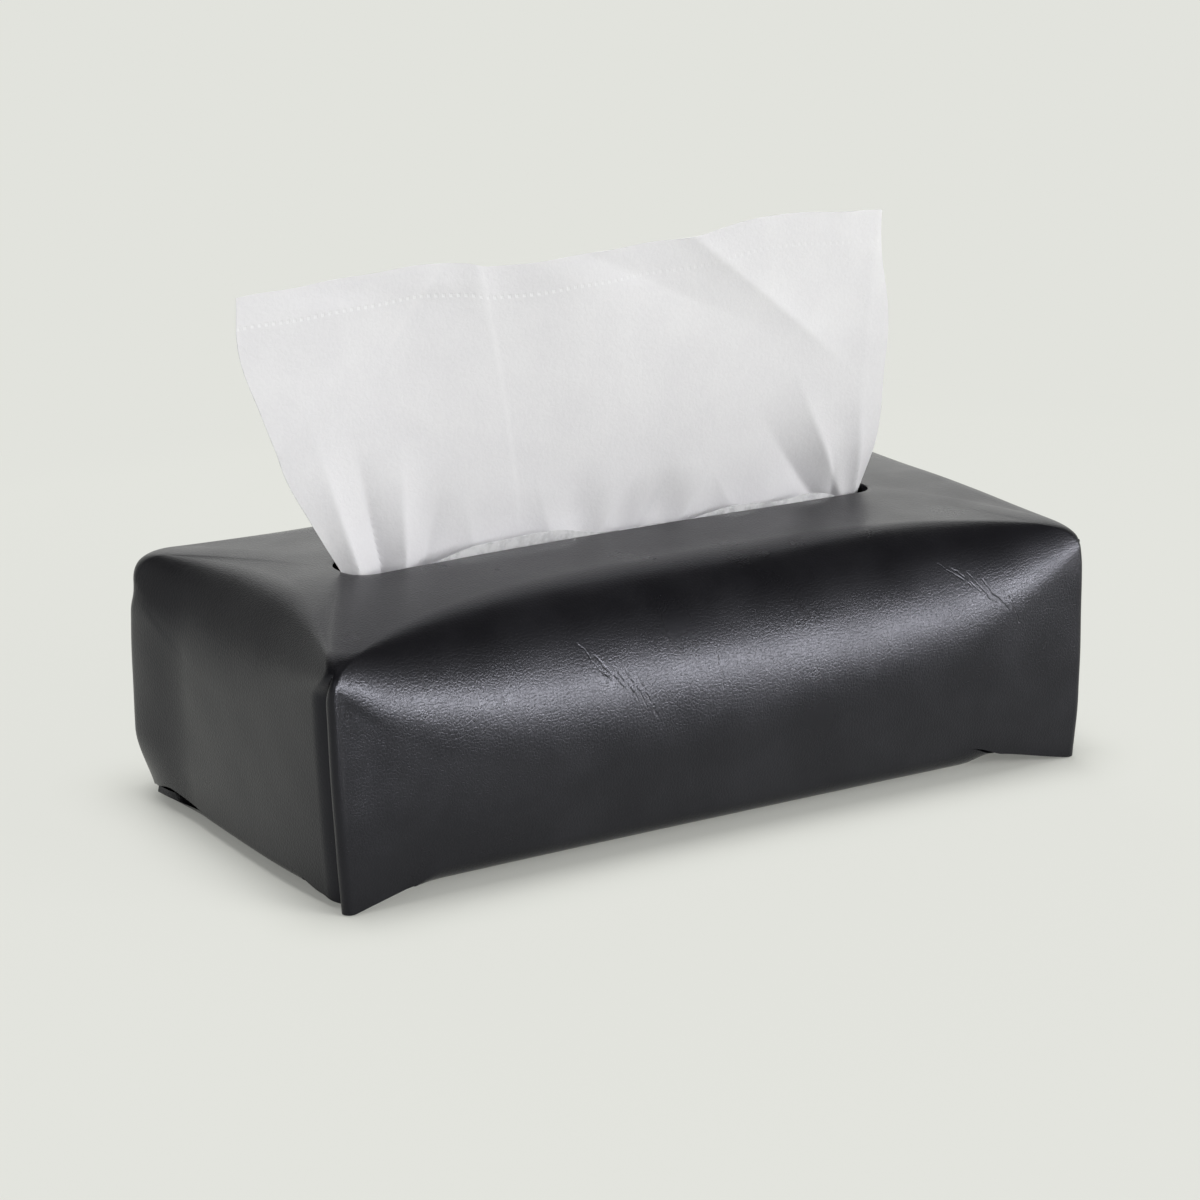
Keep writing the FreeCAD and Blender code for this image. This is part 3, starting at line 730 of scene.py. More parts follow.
    def grid(self) -> tuple[np.ndarray, np.ndarray, np.ndarray]:
        """The whole closed grid: four quarters, mirrored in turn and joined round the cover.

        Returns:
            The grid; for each column the number of its side in Side where a flap can hang, or -1; and each
            column's thickness, because the leather is pressed thin inside a pleat.
        """
        sides = list(Side)
        parts, owners, thicks = [], [], []
        order = (Corner.FRONT_RIGHT, Corner.BACK_RIGHT, Corner.BACK_LEFT, Corner.FRONT_LEFT)
        for corner in order:
            foot = FEET[corner]
            sign_x, sign_y = corner.value
            quarter = self.quarter(foot) * np.array([sign_x, -sign_y, 1])
            long_side = sides.index(Side.FRONT if sign_y < 0 else Side.BACK)
            end_side = sides.index(Side.RIGHT if sign_x > 0 else Side.LEFT)
            long_reach = self.half_length * (1 - self.long_share)
            end_reach = self.half_depth * (1 - self.end_share)
            owner = np.concatenate([
                np.where(long_reach >= foot.long_run, long_side, -1), np.full(self.pleat_columns, -1),
                np.where(end_reach >= foot.end_run, end_side, -1),
            ])
            thick = np.full(len(owner), self.thick)
            thick[len(long_reach):len(long_reach) + self.pleat_columns] = self.pleat_thick
            if sign_x * sign_y > 0:
                quarter, owner, thick = quarter[:, ::-1], owner[::-1], thick[::-1]
            parts.append(quarter[:, :-1])
            owners.append(owner[:-1])
            thicks.append(thick[:-1])
        grid = np.concatenate(parts, 1)
        fade = ease(grid[..., 2], *self.ripple_fade)
        swell = sum(high * ripple(grid, length, seed) for high, length, seed in self.ripples)
        grid = grid + grid_normals(grid, True) * (swell * fade)[..., None]
        return grid, np.concatenate(owners), np.concatenate(thicks)

    def build(self, grid: np.ndarray, thick: np.ndarray, leather: LeatherSet) -> bpy.types.Object:
        """Make the cover and dress it.

        Args:
            grid: The cover's grid.
            thick: Thickness of each of its columns.
            leather: The leather's materials.

        Returns:
            The piece.
        """
        piece = Sheet(grid, thick, True, (self.slot_edge, 0.0)).build("cover_leather")
        dress(piece, *leather.all())
        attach(piece, "cover")
        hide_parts("leather_cover")
        return piece


@dataclass
class LeatherFlap:
    """One bottom flap: it goes on from the wall's lower edge, round the fold and flat under the cover.

    Attributes:
        side: The wall it hangs on.
        level: Height of the flap's lower face.
        depth: How far the free edge lies from the middle of the cover.
        taper: How much narrower each half is at the free edge.
        sag: How far the soft fold hangs below the flap.
        corner: Radius of the free corners.
        open_end: Where along the wall the fold is slit open, and where it is shut again, if it is.
        tongue: How far the open end reaches past its column.
        thick: Thickness of the leather.
        reach_share: Width of the fold over its height.
        slit_in: How far inside the wall's face an open end is cut.
        slit_lift: How far an open end curls up at its cut edge.
        settle_run: How far in the flap settles flat.
        cut_round: How far the free cut edge swells.
        lean_limit: Steepest lean of the wall that the fold takes up.
    """

    side: Side
    level: float
    depth: float
    taper: float
    sag: float = 0.0
    corner: float = 8 * MM
    open_end: tuple = ()
    tongue: float = 0.0
    thick: float = 2.0 * MM
    reach_share: float = 1.1
    slit_in: float = 1.5 * MM
    slit_lift: float = 0.4 * MM
    settle_run: float = 14 * MM
    cut_round: float = 0.3 * MM
    lean_limit: float = 0.5
    fold_rows: int = 14
    flat_rows: int = 16

    def build(self, grid: np.ndarray, owners: np.ndarray, leather: LeatherSet) -> bpy.types.Object:
        """Make the flap.

        The fold is a quarter ellipse from the wall's edge, in the wall's own plane, to the flap's lower face.
        Where the fold is open, the flap lies flat out to its cut edge instead.

        Args:
            grid: The cover's grid.
            owners: Side of each of its columns.
            leather: The leather's materials.

        Returns:
            The piece.
        """
        body, way_along, way_out = self.side.value
        way_along, way_out = np.array(way_along, float), np.array(way_out, float)
        mine = owners == list(Side).index(self.side)
        edge = grid[-1, mine]
        along = edge[:, :2] @ way_along
        order = np.argsort(along)
        edge, along = edge[order], along[order]
        out, top = edge[:, :2] @ way_out, edge[:, 2]
        slit = ease(along, *self.open_end) if self.open_end else np.zeros(len(along))
        above = grid[-3, mine][order]
        lean = np.clip((above[:, :2] @ way_out - out) / (above[:, 2] - top), 0, self.lean_limit)
        first = np.arctan(lean)
        angle = mix(first, math.pi / 2, np.linspace(0, 1, self.fold_rows)[:, None])
        fall = (top - (self.level - self.sag)) / (1 - np.sin(first))
        reach = self.reach_share * np.median(fall)
        fold_out = out - reach * (np.cos(first) - np.cos(angle))
        fold_high = top - fall * (np.sin(angle) - np.sin(first))
        flat_out = out - self.slit_in - (reach - self.slit_in) * angle / (math.pi / 2)
        fold_out = mix(fold_out, flat_out, slit)
        fold_high = mix(fold_high, self.level + self.slit_lift * np.cos(angle), slit)
        share = np.linspace(0, 1, self.flat_rows + 1)[1:, None]
        half = np.abs(along).max()
        narrow = 1 - self.taper / half
        past = np.clip(np.abs(along) * narrow - (half * narrow - self.corner), 0, self.corner)
        free = self.depth + self.corner - np.sqrt(self.corner**2 - past**2)
        start = fold_out[-1]
        under_out = mix(start, free, share)
        settle = ease(start - under_out, 0, self.settle_run)
        under_high = mix(fold_high[-1], self.level, settle)
        width = np.concatenate([np.ones((self.fold_rows, 1)), mix(1, narrow, share)])
        spread = along * width
        if self.tongue:
            spread = spread + np.sign(self.open_end[1] - self.open_end[0]) * self.tongue * slit**2
        flat = np.concatenate([fold_out, under_out])
        high = np.concatenate([fold_high, under_high])
        plan = spread[..., None] * way_along + flat[..., None] * way_out
        points = np.concatenate([plan, high[..., None]], -1)
        piece = Sheet(points, self.thick, False, (0.0, self.cut_round)).build(body + "_leather")
        dress(piece, *leather.all())
        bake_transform(piece)
        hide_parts(body)
        return piece


FLAPS = (
    LeatherFlap(Side.FRONT, 5.8 * MM, 26 * MM, 12.6 * MM, sag=2.8 * MM, open_end=(90 * MM, 104 * MM)),
    LeatherFlap(Side.RIGHT, 2.0 * MM, 74 * MM, 6 * MM),
    LeatherFlap(Side.BACK, 5.8 * MM, 26 * MM, 12.6 * MM, sag=1.8 * MM),
    LeatherFlap(
        Side.LEFT, 2.0 * MM, 74 * MM, 6 * MM, sag=-1.6 * MM, open_end=(-18 * MM, -34 * MM), tongue=11 * MM
    ),
)


# Tissues


@dataclass(frozen=True)
class Wave:
    """A sine wave.

    Attributes:
        high: Its height.
        length: Its length over two pi.
        phase: Its phase.
        wander: Height and length of a slow wave that shifts it to and fro.
    """

    high: float
    length: float
    phase: float = 0.0
    wander: tuple = (0.0, 1.0)

    def at(self, place: np.ndarray, turn: float = 1.0) -> np.ndarray:
        """Read the wave.

        Args:
            place: Where it is read.
            turn: Factor on its phase.

        Returns:
            Its value at each place.
        """
        shift, slow = self.wander
        return self.high * np.sin(place / self.length + self.phase * turn + shift * np.sin(place / slow))


@dataclass
class RaisedTissue:
    """The tissue that stands out of the slot: a grid from its top edge down into the stack.

    Lengths are in millimetres here, and the grid is scaled to metres at the end. The outline is a few
    knots on each edge. The folds are ridges that run along straight lines in the sheet, each with its start
    and end in x and z, its width and its height. A line down the sheet marks where it was folded. Broad waves
    have a height, a length across and one upwards, a phase and the share that they start with. A pair named
    span is where a form starts to grow and where it is whole.
    """

    thick: float = 0.25
    bottom: float = 48.6
    columns: int = 260
    rows: int = 170
    flat: tuple = (0.206, 0.150)
    top_x: tuple = (-113.5, -94, -72, -55, -44, -37.5, -25, 0, 29, 51, 71, 89)
    top_z: tuple = (158.0, 160.0, 162.4, 163.2, 162.8, 161.4, 162.2, 164.3, 167.0, 170.6, 170.4, 169.3)
    left_z: tuple = (48, 66, 77, 93.6, 108.4, 124.2, 147, 158, 175)
    left_x: tuple = (-87, -89.0, -92.2, -100.2, -106.3, -110.9, -114.2, -113.5, -113.0)
    right_z: tuple = (48, 66, 77, 90, 107, 122, 137, 169, 175)
    right_x: tuple = (85, 86.5, 90.0, 93.1, 95.5, 95.6, 94.4, 88.7, 88.2)
    line_z: tuple = (48, 76, 107, 134, 149, 165)
    line_x: tuple = (-31, -32.2, -34.3, -36.5, -38.1, -40.3)
    sides: tuple = (-114, 88)
    crown: float = 78
    free_heights: tuple = (79, 91)
    most_rise: float = 1.1
    free_span: tuple = (76, 96)
    forward: float = 1.6
    forward_span: tuple = (60, 80)
    twist: tuple = (21.5, 13)
    waist: tuple = (-5.2, 4.0)
    waist_top: float = 80
    waist_span: tuple = (70, 84)
    broad_waves: tuple = ((1.5, 26.0, 60.0, 0.8, 0.4), (0.7, 11.0, 23.0, 0.0, 1.0))
    top_waves: tuple = (Wave(0.35, 5.3), Wave(1.0, 14.0))
    side_waves: tuple = (Wave(0.5, 6.0), Wave(0.5, 7.0, 1.0))
    side_span: tuple = (80, 110)
    gather: Wave = Wave(0.6, 3.1, wander=(2, 17))
    gather_span: tuple = (74, 100)
    line_span: tuple = (-0.5, 0.7)
    line_lift: float = 0.15
    line_sink: tuple = (1.6, 40)
    dent: tuple = (0.7, -40.5, 5)
    dent_span: tuple = (140, 158)
    hem: float = 0.8
    hem_span: tuple = (152, 158)
    hem_waves: tuple = (Wave(0.5, 7.5), Wave(0.5, 17.0, 1.0))
    ridge_high: float = 0.95
    ridge_spread: float = 1.6
    ridge_power: float = 1.2
    ridge_level_share: float = 0.1
    ridges: tuple = (
        ((-88, 77), (-98, 128), 4.0, -3.6), ((-78, 77), (-84, 120), 2.4, 3.2),
        ((-73, 77), (-68, 116), 3.0, -3.4), ((-64, 77), (-56, 104), 2.5, 2.0),
        ((83, 76), (60, 128), 3.2, -3.4), ((76, 76), (48, 112), 3.0, 2.8),
        ((88, 76), (87, 118), 2.6, -3.0), ((81, 76), (76, 100), 1.7, 2.4),
        ((-8, 77), (12, 104), 4.5, -2.4), ((8, 77), (22, 100), 3.4, 1.8),
        ((22, 77), (36, 98), 4.0, -1.8), ((-22, 77), (-28, 104), 5.0, -1.6),
        ((44, 77), (30, 100), 4.0, -1.2), ((-48, 77), (-52, 100), 4.0, -1.2),
        ((-104, 118), (-70, 150), 4.0, -1.1), ((60, 138), (92, 112), 5.0, -1.2),
        ((-60, 150), (-90, 112), 6.0, 1.2), ((20, 150), (66, 128), 7.0, 1.0),
    )

    def ridge(self, x: np.ndarray, z: np.ndarray, start: tuple, end: tuple, width: float) -> np.ndarray:
        """Soft ridge along a line, highest at its start and gone at its end.

        Args:
            x: Place across.
            z: Height.
            start: Foot of the ridge, x and z.
            end: Where it dies out.
            width: Half width at the start; it widens towards the end.

        Returns:
            Height of the ridge from 0 to 1.
        """
        run = np.array(end, float) - start
        length = np.hypot(*run)
        run /= length
        ahead = (x - start[0]) * run[0] + (z - start[1]) * run[1]
        aside = -(x - start[0]) * run[1] + (z - start[1]) * run[0]
        spread = width * (1 + self.ridge_spread * np.clip(ahead / length, 0, 1))
        fade = 1 - ease(ahead, self.ridge_level_share * length, length)
        return np.exp(-np.abs(aside / spread) ** self.ridge_power) * fade

    def depth(self, x: np.ndarray, z: np.ndarray) -> np.ndarray:
        """Place of the sheet along Y.

        It is a slow twist, which leans the left side back and the right side forward, then two broad waves,
        the ridges, a small step at the fold line and an uneven hem.

        Args:
            x: Place across.
            z: Height.

        Returns:
            The place at each point.
        """
        left, right = self.sides
        across = np.clip((x - left) / (right - left), 0, 1)
        rise = np.clip((z - self.crown) / mix(*self.free_heights, across), 0, self.most_rise)
        free = ease(z, *self.free_span)
        back, ahead = self.twist
        y = -self.forward * ease(z, *self.forward_span) + rise * (back * (1 - across) - ahead * across)
        for high, wide, tall, phase, least in self.broad_waves:
            y += free * high * np.sin(x / wide - z / tall + phase) * mix(least, 1, rise)
        for start, end, width, high in self.ridges:
            y += self.ridge_high * high * self.ridge(x, z, start, end, width)
        past = x - curve(z, self.line_z, self.line_x)
        sink, sink_run = self.line_sink
        y += free * ease(past, *self.line_span) * (self.line_lift - sink * ease(past, 0, sink_run))
        deep, middle, width = self.dent
        y -= free * deep * bell(x, middle, width) * ease(z, *self.dent_span)
        hem = ease(z, *self.hem_span) * sum(wave.at(x) for wave in self.hem_waves)
        return y + self.hem * hem * rise

    def grid(self) -> np.ndarray:
        """Points of the front face; where it passes the slot, the folds are held within its waist.

        Returns:
            Rows from the top edge down, by columns from left to right, by three.
        """
        share = np.linspace(0, 1, self.columns)[None, :]
        down = np.linspace(0, 1, self.rows)[:, None]
        top_x = mix(self.top_x[0], self.top_x[-1], share)
        short, long = (wave.at(top_x) for wave in self.top_waves)
        z = mix(curve(top_x, self.top_x, self.top_z) + short * long, self.bottom, down)
        left_wave, right_wave = (wave.at(z) * ease(z, *self.side_span) for wave in self.side_waves)
        left = curve(z, self.left_z, self.left_x) + left_wave
        right = curve(z, self.right_z, self.right_x) + right_wave
        x = mix(left, right, share)
        y = self.depth(x, z)
        held = mix(np.clip(y, *self.waist), y, ease(z, *self.waist_span))
        y = np.where(z < self.waist_top, held, y)
        y += (1 - ease(z, *self.gather_span)) * self.gather.at(x)
        return np.stack([x, y, z], -1) * MM

    def build(self, paper: bpy.types.Material) -> bpy.types.Object:
        """Args:
            paper: The paper's material.

        Returns:
            The piece.
        """
        piece = Sheet(self.grid(), self.thick * MM).build("raised_tissue_sheet")
        dress(piece, paper, paper, paper)
        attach(piece, "tissue")
        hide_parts("raised_tissue")
        return piece


@dataclass
class NextTissue:
    """The interfolded tissue below: a wavy strip that waits in the slot, folded over at its top.
    """

    flat: tuple = (0.170, 0.034)
    thick: float = 0.25
    half: float = 84
    low: float = 48.4
    neck: float = 64.0
    high: float = 72.4
    place: float = 3.0
    fold_share: float = 0.3
    fold_depth: float = 6.0
    fold_gap: float = 0.9
    fold_turn: float = 4
    set_forward: float = 0.4
    end_fall: float = 2.5
    top_bumps: tuple = (1.2, 9.0)
    wave: Wave = Wave(0.45, 6.0, wander=(1.5, 23.0))
    wave_span: tuple = (48, 56)
    columns: int = 120
    rows: int = 40

    def build(self, paper: bpy.types.Material) -> bpy.types.Object:
        """Args:
            paper: The paper's material.

        Returns:
            The piece.
        """
        x = np.linspace(-self.half, self.half, self.columns)[None, :]
        down = np.linspace(0, 1, self.rows)[:, None]
        bump, length = self.top_bumps
        top = self.high - self.end_fall * (x / self.half) ** 2 - bump * np.sin(x / length) ** 2
        fold = np.clip(1 - down / self.fold_share, 0, 1)
        below = np.clip((down - self.fold_share) / (1 - self.fold_share), 0, 1)
        z = np.where(down < self.fold_share, top - self.fold_depth * fold, mix(top, self.low, below))
        wave = self.wave.at(x) * ease(z, *self.wave_span)
        y = self.place + wave + self.fold_gap * np.clip(fold * self.fold_turn, 0, 1) - self.set_forward
        grid = np.stack(np.broadcast_arrays(x, y, z), -1) * MM
        piece = Sheet(grid, self.thick * MM).build("next_tissue_sheet")
        dress(piece, paper, paper, paper)
        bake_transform(piece)
        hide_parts("next_tissue")
        return piece


@dataclass
class TissueStack:
    """The stack of folded tissues: a rounded block whose sides show the edges of its layers."""

    layers: int = 20
    rows_per_layer: int = 6
    nick: float = 0.7 * MM
    nick_power: float = 0.5
    uneven: float = 0.5 * MM
    seed: int = 5
    squareness: int = 12
    cap_scales: tuple = (0.98, 0.85, 0.6, 0.3, 0.04)
    columns: int = 200

    def build(self, paper: bpy.types.Material) -> bpy.types.Object:
        """Make the stack.

        A row is a rounded rectangle, a superellipse of a high power. Going up, it draws in by the nick
        between two layers, and each layer also stands out or in by a small seeded amount.

        Args:
            paper: The paper's material.

        Returns:
            The piece.
        """
        low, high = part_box("tissue_stack")
        middle = np.array((low + high) / 2)
        half = np.array((high - low) / 2)
        draw = np.random.default_rng(self.seed)
        step = np.linspace(0, self.layers, self.layers * self.rows_per_layer + 1)
        layer = np.minimum(step.astype(int), self.layers - 1)
        inset = self.nick * (1 - np.abs(np.sin(math.pi * step)) ** self.nick_power)
        inset = inset + draw.uniform(0, self.uneven, self.layers)[layer]
        height = low.z + (high.z - low.z) * step / self.layers
        shrink = np.array(self.cap_scales)
        inset = np.concatenate([inset, np.full(len(shrink), inset[-1])])
        height = np.concatenate([height, np.full(len(shrink), high.z)])
        scale = np.concatenate([np.ones(len(step)), shrink])
        inset = np.concatenate([np.full(len(shrink), inset[0]), inset])[:, None]
        height = np.concatenate([np.full(len(shrink), low.z), height])
        scale = np.concatenate([shrink[::-1], scale])[:, None]
        turn = np.linspace(0, 2 * math.pi, self.columns, endpoint=False)
        cosine, sine = np.cos(turn), np.sin(turn)
        power = self.squareness
        square = (np.abs(cosine) ** power + np.abs(sine) ** power) ** (-1 / power)
        x = middle[0] + (half[0] - inset) * scale * cosine * square
        y = middle[1] + (half[1] - inset) * scale * sine * square
        grid = np.stack([x, y, np.broadcast_to(height[:, None], x.shape)], -1)[::-1]
        rows, columns = grid.shape[:2]
        corner_rows, corner_columns = grid_corners(rows, columns, True)
        faces = corner_rows * columns + corner_columns % columns
        points = np.concatenate([grid.reshape(-1, 3), [grid[0].mean(0)], [grid[-1].mean(0)]])
        ring = np.arange(columns)
        top, bottom = rows * columns, rows * columns + 1
        cap = np.stack([ring, np.roll(ring, -1), np.full(columns, top)], -1)
        last = (rows - 1) * columns + ring
        base = np.stack([np.roll(last, -1), last, np.full(columns, bottom)], -1)
        piece = mesh_object("tissue_stack_layers", points, faces.tolist() + cap.tolist() + base.tolist())
        dress(piece, paper)
        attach(piece, "cover")
        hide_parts("tissue_stack")
        return piece


@dataclass
class FilmWindow:
    """Clear film under the carton's top: two lips that turn up through the slot, with wavy free edges."""

    thick: float = 0.12
    half: float = 83
    plate: float = 59.75
    outer: float = 30.0
    turn: float = 6.6
    lean: float = 9.2
    lip_top: float = 80.6
    bend: float = 1.5
    lean_power: float = 1.4
    wave_from: float = 66
    sway: float = 0.45
    sway_in: float = 0.25
    lip_waves: tuple = (Wave(0.5, 7.0, 1.0), Wave(0.35, 3.4, wander=(2, 19)))
    edge_waves: tuple = (Wave(0.9, 13.0, 2.0), Wave(0.5, 5.1))
    end_fall: float = 2.2
    humps: tuple = ((2.2, -38, 26), (1.8, 68, 10))
    flat_rows: int = 8
    bend_rows: int = 7
    lip_rows: int = 22
    columns: int = 160
    flat: tuple = (0.166, 0.112)

    def lip(self, way: int) -> Sheet:
        """One half of the film: a flat strip, a turn and the lip, with waves that grow towards its edge.

        Args:
            way: -1 for the front lip, 1 for the back one.

        Returns:
            The sheet.
        """
        x = np.linspace(-self.half, self.half, self.columns)[None, :]
        flat = np.linspace(self.outer, self.turn + self.bend, self.flat_rows)
        bend = np.linspace(0, math.pi / 2, self.bend_rows)[1:]
        bend_y = self.turn + self.bend * (1 - np.sin(bend))
        bend_z = self.plate + self.bend * (1 - np.cos(bend))
        up = np.linspace(0, 1, self.lip_rows)[1:]
        lip_y = mix(self.turn, self.lean, up**self.lean_power)
        lip_z = mix(bend_z[-1], self.lip_top, up)
        y = np.concatenate([flat, bend_y, lip_y])[:, None]
        z = np.concatenate([np.full(len(flat), self.plate), bend_z, lip_z])[:, None]
        grow = ease(z, self.wave_from, self.lip_top)
        wave = sum(wave.at(x, way) for wave in self.lip_waves)
        y = y + grow * (wave * self.sway - self.sway_in)
        edge = sum(wave.at(x, way) for wave in self.edge_waves)
        edge = edge - self.end_fall * np.abs(x / self.half) ** 4
        for high, middle, width in self.humps:
            edge = edge + high * bell(x, middle, width)
        z = z + grow * edge
        grid = np.stack(np.broadcast_arrays(x, y * way, z), -1) * MM
        return Sheet(grid[:, ::-way], self.thick * MM)

    def build(self, film: bpy.types.Material) -> bpy.types.Object:
        """Args:
            film: The film's material.

        Returns:
            The piece.
        """
        parts = [self.lip(way).arrays() for way in (-1, 1)]
        count = len(parts[0][0])
        points = np.concatenate([part[0] for part in parts])
        faces = np.concatenate([parts[0][1], parts[1][1] + count])
        uvs = np.concatenate([part[3] for part in parts])
        piece = mesh_object("film_lips", points, faces, None, uvs)
        dress(piece, film)
        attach(piece, "cover")
        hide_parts("film_window")
        return piece


# Materials


class Nodes:
    """Short way to add nodes to one node tree."""

    def __init__(self, tree: bpy.types.NodeTree) -> None:
        """Keep the tree."""
        self.tree = tree

    def add(self, kind: str, values: dict | None = None, **settings) -> bpy.types.Node:
        """Add a node.

        Args:
            kind: Node type.
            values: Input values or sockets to link, by input name or number.
            settings: Properties of the node.

        Returns:
            The node.
        """
        made = self.tree.nodes.new(kind)
        for name, value in settings.items():
            setattr(made, name, value)
        for socket, value in (values or {}).items():
            if isinstance(value, bpy.types.NodeSocket):
                self.tree.links.new(value, made.inputs[socket])
            else:
                made.inputs[socket].default_value = value
        return made

    def math(self, operation: str, first: object, second: object = 0.0) -> bpy.types.NodeSocket:
        """Add a Math node and return its value."""
        return self.add("ShaderNodeMath", {0: first, 1: second}, operation=operation).outputs[0]

    def colours(self, factor: object, first: object, second: object) -> bpy.types.NodeSocket:
        """Mix two colours and return the mix."""
        made = self.add("ShaderNodeMix", {0: factor, 6: first, 7: second}, data_type="RGBA")
        return made.outputs[2]

    def noise(self, place: object, scale: float, detail: float = 2.0) -> bpy.types.NodeSocket:
        """Add a Noise Texture and return its value."""
        made = self.add("ShaderNodeTexNoise", {"Vector": place, "Scale": scale, "Detail": detail})
        return made.outputs["Fac"]

    def span(self, value: object, low: float, high: float, to_low: float = 0.0,
             to_high: float = 1.0) -> bpy.types.NodeSocket:
        """Map a span of values smoothly onto another.

        Args:
            value: Value to map.
            low: Start of the span.
            high: End of the span.
            to_low: Result at its start.
            to_high: Result at its end.

        Returns:
            The result.
        """
        made = self.add(
            "ShaderNodeMapRange",
            {"Value": value, "From Min": low, "From Max": high, "To Min": to_low, "To Max": to_high},
            interpolation_type="SMOOTHSTEP",
        )
        return made.outputs[0]

    def vectors(self, operation: str, first: object, second: object = (0, 0, 0)) -> bpy.types.Node:
        """Add a Vector Math node."""
        return self.add("ShaderNodeVectorMath", {0: first, 1: second}, operation=operation)

    def link(self, source: bpy.types.NodeSocket, target: bpy.types.NodeSocket) -> None:
        """Join two sockets."""
        self.tree.links.new(source, target)

    def relief(self, shader: bpy.types.Node, strength: float, depth: float, height: object) -> None:
        """Bump a shader's surface by a height."""
        bump = self.add("ShaderNodeBump", {"Strength": strength, "Distance": depth, "Height": height})
        self.link(bump.outputs["Normal"], shader.inputs["Normal"])


def new_material(name: str) -> tuple[bpy.types.Material, Nodes, bpy.types.Node, bpy.types.NodeSocket]:
    """Make a material with a Principled shader.

    Args:
        name: Name of the material.

    Returns:
        The material, its nodes, its shader and its Object coordinates.
    """
    material = bpy.data.materials.new(name)
    material.use_nodes = True
    nodes = Nodes(material.node_tree)
    place = nodes.add("ShaderNodeTexCoord").outputs["Object"]
    return material, nodes, material.node_tree.nodes["Principled BSDF"], place


def group_tree(name: str, inputs: dict[str, str],
               outputs: dict[str, str]) -> tuple[Nodes, dict, bpy.types.Node]:
    """Start a shader node group.

    Args:
        name: Name of the group.
        inputs: Type of each named input.
        outputs: Type of each named output.

    Returns:
        Its nodes, its input sockets by name, and its output node.
    """
    tree = bpy.data.node_groups.new(name, "ShaderNodeTree")
    for socket, kind in inputs.items():
        tree.interface.new_socket(socket, in_out="INPUT", socket_type=kind)
    for socket, kind in outputs.items():
        tree.interface.new_socket(socket, in_out="OUTPUT", socket_type=kind)
    nodes = Nodes(tree)
    entry = nodes.add("NodeGroupInput")
    return nodes, {name: entry.outputs[name] for name in inputs}, nodes.add("NodeGroupOutput")


class CreaseGroup:
    """Node group of one fine crease: a thin uneven line of a given place, length and turn."""

    wander_scale: float = 130.0
    wander: float = 4.5 * MM
    break_scale: float = 420.0

    def __init__(self) -> None:
        """Build the group once.

        The place is turned about the crease's middle. Along the turned X it fades at the ends, and across it
        the mask falls off from the line, which a noise bends and breaks.
        """
        nodes, entry, leave = group_tree(
            "leather_crease",
            {"Vector": "NodeSocketVector", "Middle": "NodeSocketVector", "Turn": "NodeSocketVector",
             "Length": "NodeSocketFloat", "Width": "NodeSocketFloat"},
            {"Mask": "NodeSocketFloat"},
        )
        moved = nodes.vectors("SUBTRACT", entry["Vector"], entry["Middle"])
        turned = nodes.add("ShaderNodeVectorRotate", {"Vector": moved.outputs[0], "Rotation": entry["Turn"]},
                           rotation_type="EULER_XYZ")
        parts = nodes.add("ShaderNodeSeparateXYZ", {0: turned.outputs[0]})
        wander = nodes.noise(entry["Vector"], self.wander_scale, 3.0)
        shift = nodes.math("MULTIPLY", nodes.math("SUBTRACT", wander, 0.5), self.wander)
        aside = nodes.math("ABSOLUTE", nodes.math("ADD", parts.outputs["Z"], shift))
        away = nodes.math("MINIMUM", nodes.math("DIVIDE", aside, entry["Width"]), 1.0)
        near = nodes.math("SUBTRACT", 1.0, away)
        ahead = nodes.math("DIVIDE", nodes.math("ABSOLUTE", parts.outputs["X"]), entry["Length"])
        inside = nodes.span(ahead, 0.35, 0.5, 1.0, 0.0)
        broken = nodes.span(nodes.noise(entry["Vector"], self.break_scale), 0.38, 0.55)
        mask = nodes.math("MULTIPLY", nodes.math("MULTIPLY", near, inside), broken)
        nodes.link(mask, leave.inputs["Mask"])
        self.tree = nodes.tree

    def place(self, nodes: Nodes, place: object, middle: tuple, turn: tuple, length: float,
              width: float) -> bpy.types.NodeSocket:
        """Add the group to a material with its own values.

        Args:
            nodes: The material's nodes.
            place: Coordinates that it reads.
            middle: Middle of the crease.
            turn: Turn about X, Y and Z.
            length: Length of the crease.
            width: Half width of the crease.

        Returns:
            Its mask.
        """
        made = nodes.add("ShaderNodeGroup", node_tree=self.tree)
        nodes.link(place, made.inputs["Vector"])
        made.inputs["Middle"].default_value = middle
        made.inputs["Turn"].default_value = turn
        made.inputs["Length"].default_value = length
        made.inputs["Width"].default_value = width
        return made.outputs["Mask"]


